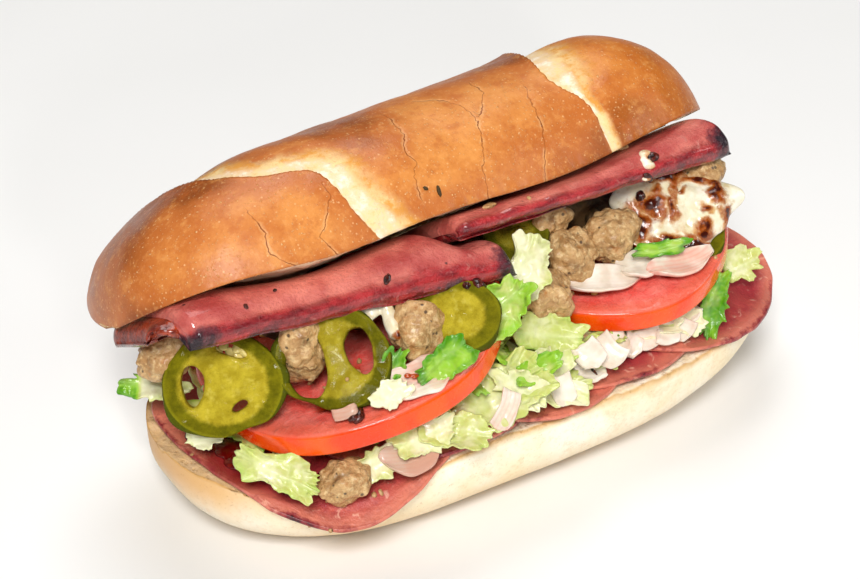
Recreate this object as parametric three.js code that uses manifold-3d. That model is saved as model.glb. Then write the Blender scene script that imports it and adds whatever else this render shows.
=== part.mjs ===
// A six inch submarine sandwich of hot meats and salad, in millimetres, +Z up.
// The lower half of the roll lies on its flat base. X runs along the roll and -Y is the open side.
// The upper half leans back over the filling, hinged about the far edge of the cut.

import * as THREE from "three";
import { mergeVertices } from "three/addons/utils/BufferGeometryUtils.js";
import Module from "manifold-3d";

const wasm = await Module();
wasm.setup();

// Driving dimensions.
const LOAF_LENGTH = 147;
const LOAF_HALF_WIDTH = 34;
const CUT_HEIGHT = 20;
const CROWN_LENGTH = 148;
const CROWN_HALF_WIDTH = 31;
const CROWN_HEIGHT = 27;
const CROWN_HINGE = new THREE.Vector3(-8, 35.2, 25);
const CROWN_TILT = 39;
const CROWN_YAW = 6;
const CLEARANCE = 0.4;

const SALAMI_THICKNESS = 0.9;
const SALAMI_STEP = 1.6;
const TOMATO_THICKNESS = 5.4;
const PEPPER_THICKNESS = 4.2;
const HAM_THICKNESS = 5;
const LEAF_THICKNESS = 1;
const ONION_THICKNESS = 1.8;

const rad = THREE.MathUtils.degToRad;
const ramp = THREE.MathUtils.smoothstep;
const lerp = THREE.MathUtils.lerp;

// A gentle unevenness between -1 and 1, different for each seed.
function unevenness(x, y, z, seed) {
  const first = Math.sin(x * 1.7 + seed * 2.3) * Math.cos(y * 1.9 - seed) * 0.6;
  const second = Math.sin(z * 2.1 + x * 0.9 + seed * 4.1) * 0.4;
  return first + second;
}

// A bell that is 1 at the middle and falls to about a third at one spread away.
function bell(value, middle, spread) {
  return Math.exp(-(((value - middle) / spread) ** 2));
}

// ---------------------------------------------------------------------------------------------
// Closed geometry and the solids made from it.

// A closed slab over a square grid: surface(u, v, side) is its upper (1) or lower (-1) face.
function slab(across, along, surface) {
  const positions = [];
  const indices = [];
  const row = along + 1;
  const layer = (across + 1) * row;
  for (const side of [1, -1]) {
    for (let i = 0; i <= across; i += 1) {
      for (let j = 0; j <= along; j += 1) {
        positions.push(...surface((2 * i) / across - 1, (2 * j) / along - 1, side));
      }
    }
  }
  for (let i = 0; i < across; i += 1) {
    for (let j = 0; j < along; j += 1) {
      const a = i * row + j;
      const b = a + row;
      indices.push(a, b, b + 1, a, b + 1, a + 1);
      indices.push(a + layer, b + 1 + layer, b + layer, a + layer, a + 1 + layer, b + 1 + layer);
    }
  }
  const rim = [];
  for (let i = 0; i < across; i += 1) {
    rim.push(i * row);
  }
  for (let j = 0; j < along; j += 1) {
    rim.push(across * row + j);
  }
  for (let i = across; i > 0; i -= 1) {
    rim.push(i * row + along);
  }
  for (let j = along; j > 0; j -= 1) {
    rim.push(j);
  }
  rim.forEach((p, k) => {
    const q = rim[(k + 1) % rim.length];
    indices.push(p, p + layer, q + layer, p, q + layer, q);
  });
  return meshOf(positions, indices);
}

// A closed skin over rings of equal count, each end closed by a fan about its middle.
function loft(rings) {
  const count = rings[0].length;
  const positions = rings.flat(2);
  const indices = [];
  for (let i = 0; i + 1 < rings.length; i += 1) {
    for (let k = 0; k < count; k += 1) {
      const a = i * count + k;
      const b = i * count + ((k + 1) % count);
      indices.push(a, b, b + count, a, b + count, a + count);
    }
  }
  for (const ring of [rings[0], rings.at(-1)]) {
    positions.push(...[0, 1, 2].map((axis) => ring.reduce((sum, p) => sum + p[axis] / count, 0)));
  }
  const last = (rings.length - 1) * count;
  const middle = rings.length * count;
  for (let k = 0; k < count; k += 1) {
    const next = (k + 1) % count;
    indices.push(middle, next, k);
    indices.push(middle + 1, last + k, last + next);
  }
  return meshOf(positions, indices);
}

function meshOf(positions, indices) {
  const geometry = new THREE.BufferGeometry();
  geometry.setAttribute("position", new THREE.Float32BufferAttribute(positions, 3));
  geometry.setIndex(indices);
  return geometry;
}

// Merged corners, no collapsed triangles, faces turned outwards.
function closed(geometry) {
  const bare = geometry.clone();
  bare.deleteAttribute("normal");
  bare.deleteAttribute("uv");
  const merged = mergeVertices(bare, 1e-4);
  const corners = merged.getAttribute("position");
  const index = Array.from(merged.index.array);
  const kept = [];
  let volume = 0;
  const [a, b, c] = [new THREE.Vector3(), new THREE.Vector3(), new THREE.Vector3()];
  for (let k = 0; k < index.length; k += 3) {
    const [i, j, l] = index.slice(k, k + 3);
    if (i !== j && j !== l && l !== i) {
      kept.push(i, j, l);
      a.fromBufferAttribute(corners, i);
      b.fromBufferAttribute(corners, j);
      c.fromBufferAttribute(corners, l);
      volume += a.dot(b.cross(c));
    }
  }
  merged.setIndex(volume > 0 ? kept : kept.reverse());
  return merged;
}

// The geometry as a solid in the sandwich's frame, its skin moved outwards by growth.
function solidOf(geometry, matrix, growth) {
  const shape = closed(geometry);
  shape.applyMatrix4(matrix);
  const corners = shape.getAttribute("position");
  if (growth > 0) {
    shape.computeVertexNormals();
    const normals = shape.getAttribute("normal");
    for (let k = 0; k < corners.array.length; k += 1) {
      corners.array[k] += normals.array[k] * growth;
    }
  }
  const mesh = new wasm.Mesh({
    numProp: 3,
    vertProperties: new Float32Array(corners.array),
    triVerts: new Uint32Array(shape.index.array),
  });
  return new wasm.Manifold(mesh);
}

function geometryOf(solid, matrix) {
  const mesh = solid.getMesh();
  const geometry = meshOf(Array.from(mesh.vertProperties), Array.from(mesh.triVerts));
  geometry.applyMatrix4(matrix);
  geometry.computeVertexNormals();
  return geometry;
}

function largest(solid) {
  const bodies = solid.decompose();
  return bodies.reduce((best, body) => (body.volume() > best.volume() ? body : best));
}

// ---------------------------------------------------------------------------------------------
// Assembly: a piece keeps its own shape where an earlier one isn't already in the way.

const sandwich = new THREE.Group();
const crown = new THREE.Group();
crown.position.copy(CROWN_HINGE);
crown.rotation.set(rad(-CROWN_TILT), 0, rad(CROWN_YAW), "ZYX");
sandwich.add(crown);

const inPlace = [];

// Turns a piece's own +Z towards a compass bearing (0 is the open side, -90 the left end) and a rise.
function facing(bearing, rise, spin = 0) {
  const turn = new THREE.Quaternion().setFromAxisAngle(new THREE.Vector3(0, 0, 1), rad(bearing));
  turn.multiply(new THREE.Quaternion().setFromAxisAngle(new THREE.Vector3(1, 0, 0), rad(90 - rise)));
  return turn.multiply(new THREE.Quaternion().setFromAxisAngle(new THREE.Vector3(0, 0, 1), rad(spin)));
}

function add(name, look, geometry, at = [0, 0, 0], turn = new THREE.Quaternion(), group = sandwich) {
  const material = new THREE.MeshStandardMaterial({ color: look[0], roughness: look[1], metalness: 0 });
  const mesh = new THREE.Mesh(geometry, material);
  mesh.name = name;
  mesh.position.set(...at);
  mesh.quaternion.copy(turn);
  group.add(mesh);
  mesh.updateWorldMatrix(true, false);
  let solid = solidOf(geometry, mesh.matrixWorld, 0);
  for (const neighbour of inPlace) {
    solid = solid.subtract(neighbour);
  }
  inPlace.push(solidOf(geometry, mesh.matrixWorld, CLEARANCE));
  mesh.geometry = geometryOf(largest(solid), mesh.matrixWorld.clone().invert());
}

// ---------------------------------------------------------------------------------------------
// The roll: a boxy lower half with a flat base, and a domed upper half with two open scores.

const CRUST = ["#c98a45", 0.55];
const CRUMB_SIDE = ["#ecd3a0", 0.6];

// How far the roll keeps its full size towards an end, 1 in the middle and 0 at the tip.
function taper(x, halfLength, cap) {
  const t = THREE.MathUtils.clamp((Math.abs(x) - halfLength + cap) / cap, 0, 1);
  return (1 - t ** 2.2) ** (1 / 2.2);
}

// The lower cut dips where the filling presses on its front edge.
function cutHeight(x, y) {
  return CUT_HEIGHT - 6 * ramp(-y, 6, 32) * bell(x, -50, 20);
}

function loafHalfWidth(x) {
  return LOAF_HALF_WIDTH * taper(x, LOAF_LENGTH / 2, 52);
}

// Places along the roll, closer together at its ends.
function stations(count, halfLength) {
  return Array.from({ length: count + 1 }, (_, i) => {
    return -halfLength * 0.99 * Math.cos((Math.PI * i) / count);
  });
}

const power = (value, exponent) => Math.sign(value) * Math.abs(value) ** exponent;

function loafGeometry() {
  const squareness = 2 / 3.4;
  const rings = stations(15, LOAF_LENGTH / 2).map((x) => {
    const width = loafHalfWidth(x);
    const lift = x > 0 ? taper(x, LOAF_LENGTH / 2, 72) ** 1.5 : taper(x, LOAF_LENGTH / 2, 38) ** 0.75;
    const depth = (CUT_HEIGHT + 1.2) * lift;
    const ring = [];
    for (let k = 0; k <= 12; k += 1) {
      const angle = (Math.PI * k) / 12;
      const y = -width * power(Math.cos(angle), squareness);
      const z = CUT_HEIGHT - depth * power(Math.sin(angle), squareness);
      ring.push([x, y, THREE.MathUtils.clamp(z, 0, cutHeight(x, y))]);
    }
    for (let k = 1; k < 5; k += 1) {
      const y = lerp(width, -width, k / 5);
      ring.push([x, y, cutHeight(x, y)]);
    }
    return ring.reverse();
  });
  return loft(rings);
}

// A score opens the crust: a shallow trough with a raised ear along its left edge. It crosses the
// front at start and moves left by slant for every millimetre towards the back.
function score(x, y, start, slant, width) {
  const across = x - start + slant * (y + 2 * CROWN_HALF_WIDTH);
  return 0.8 * bell(across, -1.3 * width, width * 0.5) - 1.8 * bell(across, 0, width);
}

// The upper cut lifts towards its left end, where the roll is also twisted so that its back edge stands
// higher than its front one. It sags a little at the front right of the middle.
function crownRim(x, y) {
  const frontEdge = -CROWN_HALF_WIDTH - CROWN_HALF_WIDTH * taper(x, CROWN_LENGTH / 2, 36);
  const lift = 3.3 * (1 - ramp(x, -70, -34)) - 0.4 * bell(x, -32, 12);
  const twist = 0.2 * (1 - ramp(x, -70, -42)) * (y - frontEdge);
  return lift * ramp(-y, 0, 20) + twist - 2.4 * bell(x, 20, 24) * ramp(-y, 40, 60);
}

function crownGeometry() {
  const roundness = 2 / 2.3;
  const halfLength = CROWN_LENGTH / 2;
  const rings = stations(16, halfLength).map((x) => {
    const width = CROWN_HALF_WIDTH * taper(x, halfLength, 36);
    const height = CROWN_HEIGHT * (x > 0 ? taper(x, halfLength, 34) ** 0.9 : taper(x, halfLength, 42) ** 0.8);
    const ring = [];
    for (let k = 0; k <= 14; k += 1) {
      const angle = (Math.PI * k) / 14;
      const y = width * power(Math.cos(angle), roundness) - CROWN_HALF_WIDTH;
      const rise = power(Math.sin(angle), roundness);
      const scores = score(x, y, -22, 0.5, 7) + score(x, y, 41, 0, 8);
      const relief = scores * ramp(rise, 0.3, 1) * width;
      const rim = crownRim(x, y);
      ring.push([x, y, rim + (height - rim) * rise + relief / CROWN_HALF_WIDTH]);
    }
    for (let k = 1; k < 4; k += 1) {
      const y = lerp(-width, width, k / 4) - CROWN_HALF_WIDTH;
      ring.push([x, y, crownRim(x, y)]);
    }
    return ring;
  });
  return loft(rings);
}

add("bread_bottom", CRUMB_SIDE, loafGeometry());
add("bread_top", CRUST, crownGeometry(), [0, 0, 0], new THREE.Quaternion(), crown);

// ---------------------------------------------------------------------------------------------
// Salami: thin round slices shingled along the lower half, each over the one to its left.

const SALAMI = ["#a8454a", 0.45];
const SALAMI_CENTRES = [
  { x: -40, y: -3, radius: 33.5 },
  { x: -19, y: -1.5, radius: 33 },
  { x: 3, y: -3, radius: 33 },
  { x: 22, y: -1, radius: 33 },
  { x: 43, y: 0.5, radius: 33 },
];

// A round outline laid over the square grid.
function round(u, v) {
  return [u * Math.sqrt(1 - (v * v) / 2), v * Math.sqrt(1 - (u * u) / 2)];
}

// How far a point lies outside the lower half's rim, seen from above.
function overhang(x, y) {
  return Math.max(0, Math.abs(y) - loafHalfWidth(THREE.MathUtils.clamp(x, -68, 68)) - 0.8);
}

// How many of the first slices lie under a place, easing off around their edges.
function layers(x, y, slices) {
  return slices.reduce((sum, slice) => {
    const reach = Math.hypot(x - slice.x, y - slice.y) - slice.radius;
    return sum + 1 - ramp(reach, 4, 14);
  }, 0);
}

function salamiGeometry(order) {
  const { x, y, radius } = SALAMI_CENTRES[order];
  return slab(7, 6, (u, v, side) => {
    const [a, b] = round(u, v);
    const wavy = 1 + 0.02 * unevenness(a * 2, b * 2, 0, order);
    const across = a * radius * wavy;
    const along = b * radius * wavy;
    const rest = cutHeight(x + across, y + along) + 2 * CLEARANCE;
    const stack = SALAMI_STEP * layers(x + across, y + along, SALAMI_CENTRES.slice(0, order));
    const droop = 0.35 * overhang(x + across, y + along);
    return [across, along, rest + stack - droop + (side > 0 ? SALAMI_THICKNESS : 0)];
  });
}

SALAMI_CENTRES.forEach((slice, k) => {
  add(`salami_${k + 1}`, SALAMI, salamiGeometry(k), [slice.x, slice.y, 0]);
});

// ---------------------------------------------------------------------------------------------
// Tomato: two thick round slices, leaning on the lettuce.

const TOMATO = ["#e0401f", 0.3];

function tomatoGeometry(radius, thickness, seed) {
  const profile = [
    [0, 0],
    [radius - 1.2, 0],
    [radius, 1.4],
    [radius, thickness - 1],
    [radius - 0.8, thickness],
    [0, thickness],
  ];
  const geometry = new THREE.LatheGeometry(profile.map((p) => new THREE.Vector2(...p)), 24);
  geometry.rotateX(Math.PI / 2);
  const corners = geometry.getAttribute("position");
  for (let k = 0; k < corners.count; k += 1) {
    const angle = Math.atan2(corners.getY(k), corners.getX(k));
    const bulge = 1 + 0.018 * Math.cos(5 * angle + seed) + 0.012 * Math.cos(3 * angle - seed);
    corners.setXY(k, corners.getX(k) * bulge, corners.getY(k) * bulge);
  }
  return geometry;
}

// The turn that carries +Z to a normal leaning by two slopes.
function leaning(slopeX, slopeY) {
  const normal = new THREE.Vector3(slopeX, slopeY, 1).normalize();
  return new THREE.Quaternion().setFromUnitVectors(new THREE.Vector3(0, 0, 1), normal);
}

const TOMATO_SLICES = [
  { at: [-30.5, -4.6, 30.6], slopes: [-0.228, 0.083], radius: 32.4, thickness: TOMATO_THICKNESS },
  { at: [32.1, -2.4, 32.7], slopes: [-0.1, -0.05], radius: 28.6, thickness: TOMATO_THICKNESS - 0.2 },
];
TOMATO_SLICES.forEach(({ at, slopes, radius, thickness }, k) => {
  add(`tomato_${k + 1}`, TOMATO, tomatoGeometry(radius, thickness, k * 2), at, leaning(...slopes));
});

// ---------------------------------------------------------------------------------------------
// Ham: slices folded double under the upper half, their folds hanging over the filling.

const HAM = ["#9c3440", 0.35];

// A folded slice, from its hidden inner edge to its fold. The fold's place is given at the left and
// right ends, measured from the upper cut; tuck is how far the right end is pushed under a neighbour.
function hamGeometry({ inner, tuck, left, right }, seed) {
  return slab(7, 6, (u, v, side) => {
    const t = (u + 1) / 2;
    const s = (v + 1) / 2;
    const x = lerp(left.x, right.x, t);
    const foldY = lerp(left.fold[0], right.fold[0], t);
    const foldZ = lerp(left.fold[1], right.fold[1], t) + 0.5 * unevenness(x * 0.08, 0, 0, seed);
    const y = (1 - s) ** 2 * inner + 2 * s * (1 - s) * (foldY - 1) + s * s * foldY;
    const innerZ = crownRim(x, y) - HAM_THICKNESS / 2 - CLEARANCE - 0.1 - tuck * ramp(x, -17, -7);
    const z = (1 - s ** 4) * innerZ + s ** 4 * foldZ;
    const slopeY = (1 - s) * (foldY - 1 - inner) + s;
    const slopeZ = 2 * s ** 3 * (foldZ - innerZ);
    const length = Math.hypot(slopeY, slopeZ);
    const roundEnd = Math.sqrt(1 - Math.max(0, (s - 0.72) / 0.3) ** 2);
    const half = ((HAM_THICKNESS / 2) * Math.max(0.25, roundEnd) * side) / length;
    return [x, y + half * slopeZ, z - half * slopeY];
  });
}

const HAM_FOLDS = [
  { inner: -34, tuck: 6, left: { x: -69.5, fold: [-51, -6.5] }, right: { x: -1, fold: [-60.5, -17.5] } },
  { inner: -34, tuck: 0, left: { x: -9.5, fold: [-59, -6] }, right: { x: 60, fold: [-63, -12] } },
  { inner: -30, tuck: 0, left: { x: -76, fold: [-46, -1] }, right: { x: -70.6, fold: [-49, -3.5] } },
];
HAM_FOLDS.forEach((fold, k) => {
  add(`ham_${k + 1}`, HAM, hamGeometry(fold, k + 1), [0, 0, 0], new THREE.Quaternion(), crown);
});

// ---------------------------------------------------------------------------------------------
// Sausage: crumbled lumps of cooked pork with pepper.

const SAUSAGE = ["#8f7355", 0.7];

function lumpGeometry(width, depth, height, seed) {
  const geometry = new THREE.IcosahedronGeometry(1, 1);
  const corners = geometry.getAttribute("position");
  const p = new THREE.Vector3();
  for (let k = 0; k < corners.count; k += 1) {
    p.fromBufferAttribute(corners, k);
    p.multiplyScalar(1 + 0.14 * unevenness(p.x * 1.5, p.y * 1.5, p.z * 1.5, seed));
    corners.setXYZ(k, (p.x * width) / 2, (p.y * depth) / 2, (p.z * height) / 2);
  }
  return geometry;
}

const SAUSAGE_LUMPS = [
  { at: [-71.5, -1, 42.5], size: [13, 11, 11.5] },
  { at: [-47, -12.8, 42], size: [11, 10, 16] },
  { at: [-26.2, -23.2, 44.6], size: [13.5, 12, 12.5] },
  { at: [-47.6, -29.6, 20.6], size: [13, 10.5, 10.5] },
  { at: [5.6, -20.1, 40.2], size: [13.5, 12, 12.5] },
  { at: [16.4, -14, 43.2], size: [13, 12, 13] },
  { at: [27, -14.2, 44.9], size: [14, 12, 12.5] },
  { at: [14.5, -7.6, 50], size: [11, 10, 10] },
  { at: [52.5, -10.6, 50], size: [13, 11, 11] },
  { at: [6.3, -24, 28], size: [9, 8, 7.5] },
];
SAUSAGE_LUMPS.forEach(({ at, size }, k) => {
  add(`sausage_${k + 1}`, SAUSAGE, lumpGeometry(...size, k + 1), at);
});

// ---------------------------------------------------------------------------------------------
// Pickled pepper: rings cut across the pepper, each with its seed chambers open.

const PEPPER = ["#8a8424", 0.3];

// Corners of an oval about a point, its width turned to a bearing.
function oval(x, y, width, height, bearing, count) {
  return Array.from({ length: count }, (_, k) => {
    const angle = (Math.PI * 2 * k) / count;
    const corner = new THREE.Vector2((width / 2) * Math.cos(angle), (height / 2) * Math.sin(angle));
    return corner.rotateAround(new THREE.Vector2(), rad(bearing)).add(new THREE.Vector2(x, y));
  });
}

function pepperGeometry(width, height, chambers) {
  const shape = new THREE.Shape(oval(0, 0, width, height, 0, 18));
  for (const [bearing, reach, length, breadth] of chambers) {
    const x = reach * Math.cos(rad(bearing));
    const y = reach * Math.sin(rad(bearing));
    shape.holes.push(new THREE.Path(oval(x, y, length, breadth, bearing + 90, 7)));
  }
  const geometry = new THREE.ExtrudeGeometry(shape, { depth: PEPPER_THICKNESS, bevelEnabled: false });
  return geometry.translate(0, 0, -PEPPER_THICKNESS / 2);
}

const PEPPER_RINGS = [
  {
    at: [-64.2, -11.6, 38.9],
    face: [-30, 32],
    size: [24, 21.4],
    chambers: [[180, 5.9, 8.4, 5.2], [307, 5.2, 4.4, 2.2], [75, 6.9, 7.4, 2.8]],
  },
  {
    at: [-44.4, -20.4, 42.8],
    face: [-34, 38],
    size: [23, 21],
    chambers: [[20, 5.4, 9.6, 6.2], [200, 5.4, 9.6, 6]],
  },
  { at: [-18.6, -24.6, 45.8], face: [-32, 50], size: [18, 16], chambers: [] },
  { at: [6.4, -7.5, 48], face: [-24, 50], size: [15, 13], chambers: [] },
  { at: [43.6, -15.4, 41.7], face: [-24, 46], size: [22, 19], chambers: [] },
];
PEPPER_RINGS.forEach(({ at, face, size, chambers }, k) => {
  add(`jalapeno_${k + 1}`, PEPPER, pepperGeometry(...size, chambers), at, facing(...face));
});

// ---------------------------------------------------------------------------------------------
// Cheese: a melted, browned patch over a pepper, and a few strings over a lump of sausage.

const CHEESE = ["#ead9a8", 0.35];

function patchGeometry(width, depth, thickness, sag, seed) {
  return slab(5, 5, (u, v, side) => {
    const [a, b] = round(u, v);
    const ragged = 1 + 0.12 * unevenness(a * 2.4, b * 2.4, 0, seed);
    const height = 0.8 * unevenness(a * 2, b * 2, 1, seed + 3) - sag * (a * a + b * b);
    const edge = 1 - 0.45 * (a * a + b * b);
    return [(a * width * ragged) / 2, (b * depth * ragged) / 2, height + (side * thickness * edge) / 2];
  });
}

add("cheese_1", CHEESE, patchGeometry(27, 21, 3.6, 1.6, 2), [42.2, -16, 47.7], facing(-24, 46));
add("cheese_2", CHEESE, patchGeometry(14, 8, 2.6, 0.8, 5), [-32.5, -19, 47.6], facing(-30, 50, -20));

// ---------------------------------------------------------------------------------------------
// Onion and lettuce pieces that lie loose on the layers.

const ONION = ["#efe3d6", 0.35];
const LETTUCE = ["#b9cf6a", 0.4];

// A piece bent about its own length, with its two long edges raised by curl.
function curledGeometry(length, width, thickness, curl, wave, seed) {
  return slab(4, 3, (u, v, side) => {
    const ends = 1 - 0.25 * u * u + 0.12 * unevenness(u * 2, v, 0, seed);
    const z = curl * (v * v - 0.4) + wave * Math.sin(u * 3 + seed) * (0.4 + 0.6 * v);
    return [(u * length) / 2, (v * width * ends) / 2, z + (side * thickness) / 2];
  });
}

const ONION_PIECES = [
  { at: [-31.5, -31.6, 39.6], face: [-20, 62, 14], size: [17, 8, 1.4, 0.6] },
  { at: [20.6, -20.4, 38.6], face: [-20, 60, 4], size: [18, 6.5, 1.4, 0.8] },
  { at: [29.5, -20.9, 39.9], face: [-24, 64, 20], size: [10, 7, 1.2, 0.4] },
  { at: [37.6, -25.4, 40], face: [-22, 66, 14], size: [16, 6.5, 1.6, 0.4] },
  { at: [-35, -33.4, 23.4], face: [-20, 55, 10], size: [12, 7, 1, 0.2] },
  { at: [17.8, -28.8, 27.4], face: [-16, 60, 20], size: [9, 6.5, 0.8, 0.2] },
];
ONION_PIECES.forEach(({ at, face, size }, k) => {
  const [length, width, curl, wave] = size;
  const geometry = curledGeometry(length, width, ONION_THICKNESS, curl, wave, k + 1);
  add(`onion_${k + 1}`, ONION, geometry, at, facing(...face));
});

const LETTUCE_LEAVES = [
  { at: [1, -19.6, 48.6], face: [-30, 34, 66], size: [11, 8.5, 1.4, 0.6] },
  { at: [-8.6, -26, 45.6], face: [-30, 30, 50], size: [13, 10, 2.4, 1] },
  { at: [-59.5, -24.4, 26.6], face: [-24, 44, -18], size: [18, 12, 2, 1.8] },
  { at: [-14, -32, 29.6], face: [-18, 44, 24], size: [22, 11, 2, 2] },
  { at: [-2.6, -30.4, 28.2], face: [-16, 40, -12], size: [19, 11, 1.6, 1.4] },
  { at: [3.6, -26.4, 34.4], face: [-14, 40, -20], size: [15, 9, 1.6, 1.2] },
  { at: [-27, -33.4, 43.4], face: [-30, 24, 40], size: [12, 8, 2, 0.6] },
  { at: [44.6, -28, 28.2], face: [-26, 20, 76], size: [14, 6, 1.6, 0.6] },
  { at: [-72, 5, 31.5], face: [-50, 36, 8], size: [17, 7, 1.2, 1] },
  { at: [60, -17.6, 28.4], face: [-20, 40, 20], size: [8, 7, 0.8, 0.6] },
];
LETTUCE_LEAVES.forEach(({ at, face, size }, k) => {
  const [length, width, curl, wave] = size;
  const geometry = curledGeometry(length, width, LEAF_THICKNESS, curl, wave, k + 11);
  add(`lettuce_${k + 1}`, LETTUCE, geometry, at, facing(...face));
});

// ---------------------------------------------------------------------------------------------
// Two heaps run through the whole sandwich: shredded lettuce under the tomato, and the rest of the
// chopped topping between the tomato and the ham.

const SHREDDED = ["#c8d58c", 0.5];
const TOPPING = ["#6b4c30", 0.7];

function heapGeometry({ x, y, length, width, low, high }, seed) {
  return slab(9, 5, (u, v, side) => {
    const [a, b] = round(u, v);
    const rough = unevenness(a * 7, b * 4, 0, seed);
    const px = x + (a * length * (1 + 0.03 * rough)) / 2;
    const py = y + (b * width * (1 + 0.05 * rough)) / 2;
    return [px, py, side > 0 ? high(px, py) + 0.9 * rough : low(px, py)];
  });
}

// The plane just under the tomato nearest to a place, blended where the two slices meet.
function underTomato(x, y) {
  const [left, right] = TOMATO_SLICES.map(({ at, slopes }) => {
    return at[2] - slopes[0] * (x - at[0]) - slopes[1] * (y - at[1]) - CLEARANCE;
  });
  return lerp(left, right, ramp(x, -10, 3));
}

// Just over the salami.
function overSalami(x, y) {
  return cutHeight(x, y) + 3 * CLEARANCE + SALAMI_STEP * layers(x, y, SALAMI_CENTRES);
}

add("lettuce_bed", SHREDDED, heapGeometry({
  x: -1,
  y: -0.5,
  length: 130,
  width: 54,
  low: overSalami,
  high: (x, y) => Math.max(overSalami(x, y) + 1.2, underTomato(x, y) - 0.9),
}, 3));

// The height of the upper cut over a place, less the room that the folded ham takes under it.
function underHam(x, y) {
  const hinge = CROWN_HINGE.y + Math.tan(rad(CROWN_YAW)) * (x - CROWN_HINGE.x);
  const ham = 9 + 6 * bell(x, -6, 22);
  return CROWN_HINGE.z + (hinge - y) * Math.tan(rad(CROWN_TILT)) - ham;
}

add("topping_core", TOPPING, heapGeometry({
  x: -4,
  y: 0,
  length: 104,
  width: 11,
  low: (x, y) => underTomato(x, y) + TOMATO_THICKNESS + 1.5,
  high: (x, y) => Math.max(underTomato(x, y) + TOMATO_THICKNESS + 3.5, underHam(x, y)),
}, 8));

export default sandwich;
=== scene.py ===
import math

import bmesh
import bpy
import numpy as np
from mathutils import Matrix, Vector
from mathutils.bvhtree import BVHTree


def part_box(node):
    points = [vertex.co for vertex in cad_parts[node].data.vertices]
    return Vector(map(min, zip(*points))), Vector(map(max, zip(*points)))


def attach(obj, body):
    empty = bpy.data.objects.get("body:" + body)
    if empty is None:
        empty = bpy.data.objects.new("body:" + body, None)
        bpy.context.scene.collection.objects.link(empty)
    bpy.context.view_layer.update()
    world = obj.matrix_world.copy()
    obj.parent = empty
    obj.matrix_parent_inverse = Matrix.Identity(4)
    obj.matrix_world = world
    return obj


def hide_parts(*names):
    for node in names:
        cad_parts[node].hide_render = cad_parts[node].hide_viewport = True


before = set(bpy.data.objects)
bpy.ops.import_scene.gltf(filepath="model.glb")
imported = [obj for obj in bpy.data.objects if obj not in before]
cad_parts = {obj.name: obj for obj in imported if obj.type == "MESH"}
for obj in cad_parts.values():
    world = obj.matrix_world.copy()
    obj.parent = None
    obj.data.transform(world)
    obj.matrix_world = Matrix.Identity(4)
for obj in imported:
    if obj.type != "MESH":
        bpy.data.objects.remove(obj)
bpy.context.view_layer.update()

# ---------------------------------------------------------------------------------------------
# Table top, light and camera.
# The sandwich lies on a plain pale table. A large soft lamp stands in front and above it, with
# weaker ones behind and to the right, and a small low one picks out what is wet.

MM = 0.001


def linear(colour):
    """A #rrggbb colour as the shader's own red, green, blue and alpha."""
    parts = [int(colour[k : k + 2], 16) / 255 for k in (1, 3, 5)]
    return tuple(p / 12.92 if p < 0.04045 else ((p + 0.055) / 1.055) ** 2.4 for p in parts) + (1.0,)


def new_material(name, roughness=0.5):
    """A material, its node tree and its shader."""
    made = bpy.data.materials.new(name)
    made.use_nodes = True
    shader = made.node_tree.nodes["Principled BSDF"]
    fill(shader, {"Roughness": roughness, "Specular IOR Level": 0.32})
    return made, made.node_tree, shader


def fill(node, values):
    """Gives each named input of a node its number or colour, or links it to another node's output."""
    for key, value in values.items():
        if isinstance(value, bpy.types.NodeSocket):
            node.id_data.links.new(value, node.inputs[key])
        else:
            node.inputs[key].default_value = value


def add_node(tree, kind, inputs=None, **settings):
    """A shader node with its inputs filled."""
    node = tree.nodes.new("ShaderNode" + kind)
    for key, value in settings.items():
        setattr(node, key, value)
    fill(node, inputs or {})
    return node


def place(tree):
    """Where a point is on the sandwich, in metres."""
    return add_node(tree, "TexCoord").outputs["Object"]


def cloud(tree, scale, detail, roughness=0.5, distortion=0.0, at=None):
    """Cloudy variation from 0 to 1, with scale clouds to the metre."""
    values = {"Scale": scale, "Detail": detail, "Roughness": roughness, "Distortion": distortion}
    return add_node(tree, "TexNoise", {"Vector": at or place(tree), **values}).outputs["Fac"]


def noise(tree, size, detail=3.0, roughness=0.55, shift=0.0, stretch=1.0):
    """Cloudy variation from 0 to 1, size millimetres across and longer than that by stretch."""
    at = place(tree)
    if shift:
        at = add_node(tree, "VectorMath", {0: at, 1: (shift, shift * 0.7, -shift)}).outputs[0]
    if stretch != 1.0:
        at = add_node(tree, "VectorMath", {0: at, 1: (1 / stretch, 1, 1)}, operation="MULTIPLY").outputs[0]
    return cloud(tree, 1 / (size * MM), detail, roughness, at=at)


def span(tree, value, low, high, start=0.0, end=1.0):
    """value carried from low..high to start..end, smooth at both ends."""
    return add_node(
        tree,
        "MapRange",
        {"Value": value, "From Min": low, "From Max": high, "To Min": start, "To Max": end},
        interpolation_type="SMOOTHSTEP",
    ).outputs["Result"]


def sums(tree, operation, first, second):
    """One of the plain sums of two values."""
    return add_node(tree, "Math", {0: first, 1: second}, operation=operation).outputs[0]


def plus(tree, first, second):
    return sums(tree, "ADD", first, second)


def times(tree, first, second):
    return sums(tree, "MULTIPLY", first, second)


def tint(tree, share, under, over):
    """The colour under with a share of the colour over laid on it."""
    node = add_node(tree, "Mix", data_type="RGBA", clamp_factor=True)
    colours = [linear(colour) if isinstance(colour, str) else colour for colour in (under, over)]
    fill(node, {0: share, 6: colours[0], 7: colours[1]})
    return node.outputs[2]


def patches(tree, kind, low, high, under, over, most=1.0):
    """Cloudy patches of the colour over on the colour under; kind holds what noise is given."""
    return tint(tree, span(tree, noise(tree, *kind), low, high, 0.0, most), under, over)


def drawn(tree, name):
    """A value that the mesh carries at each of its corners."""
    return add_node(tree, "Attribute", attribute_name=name).outputs["Fac"]


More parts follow.
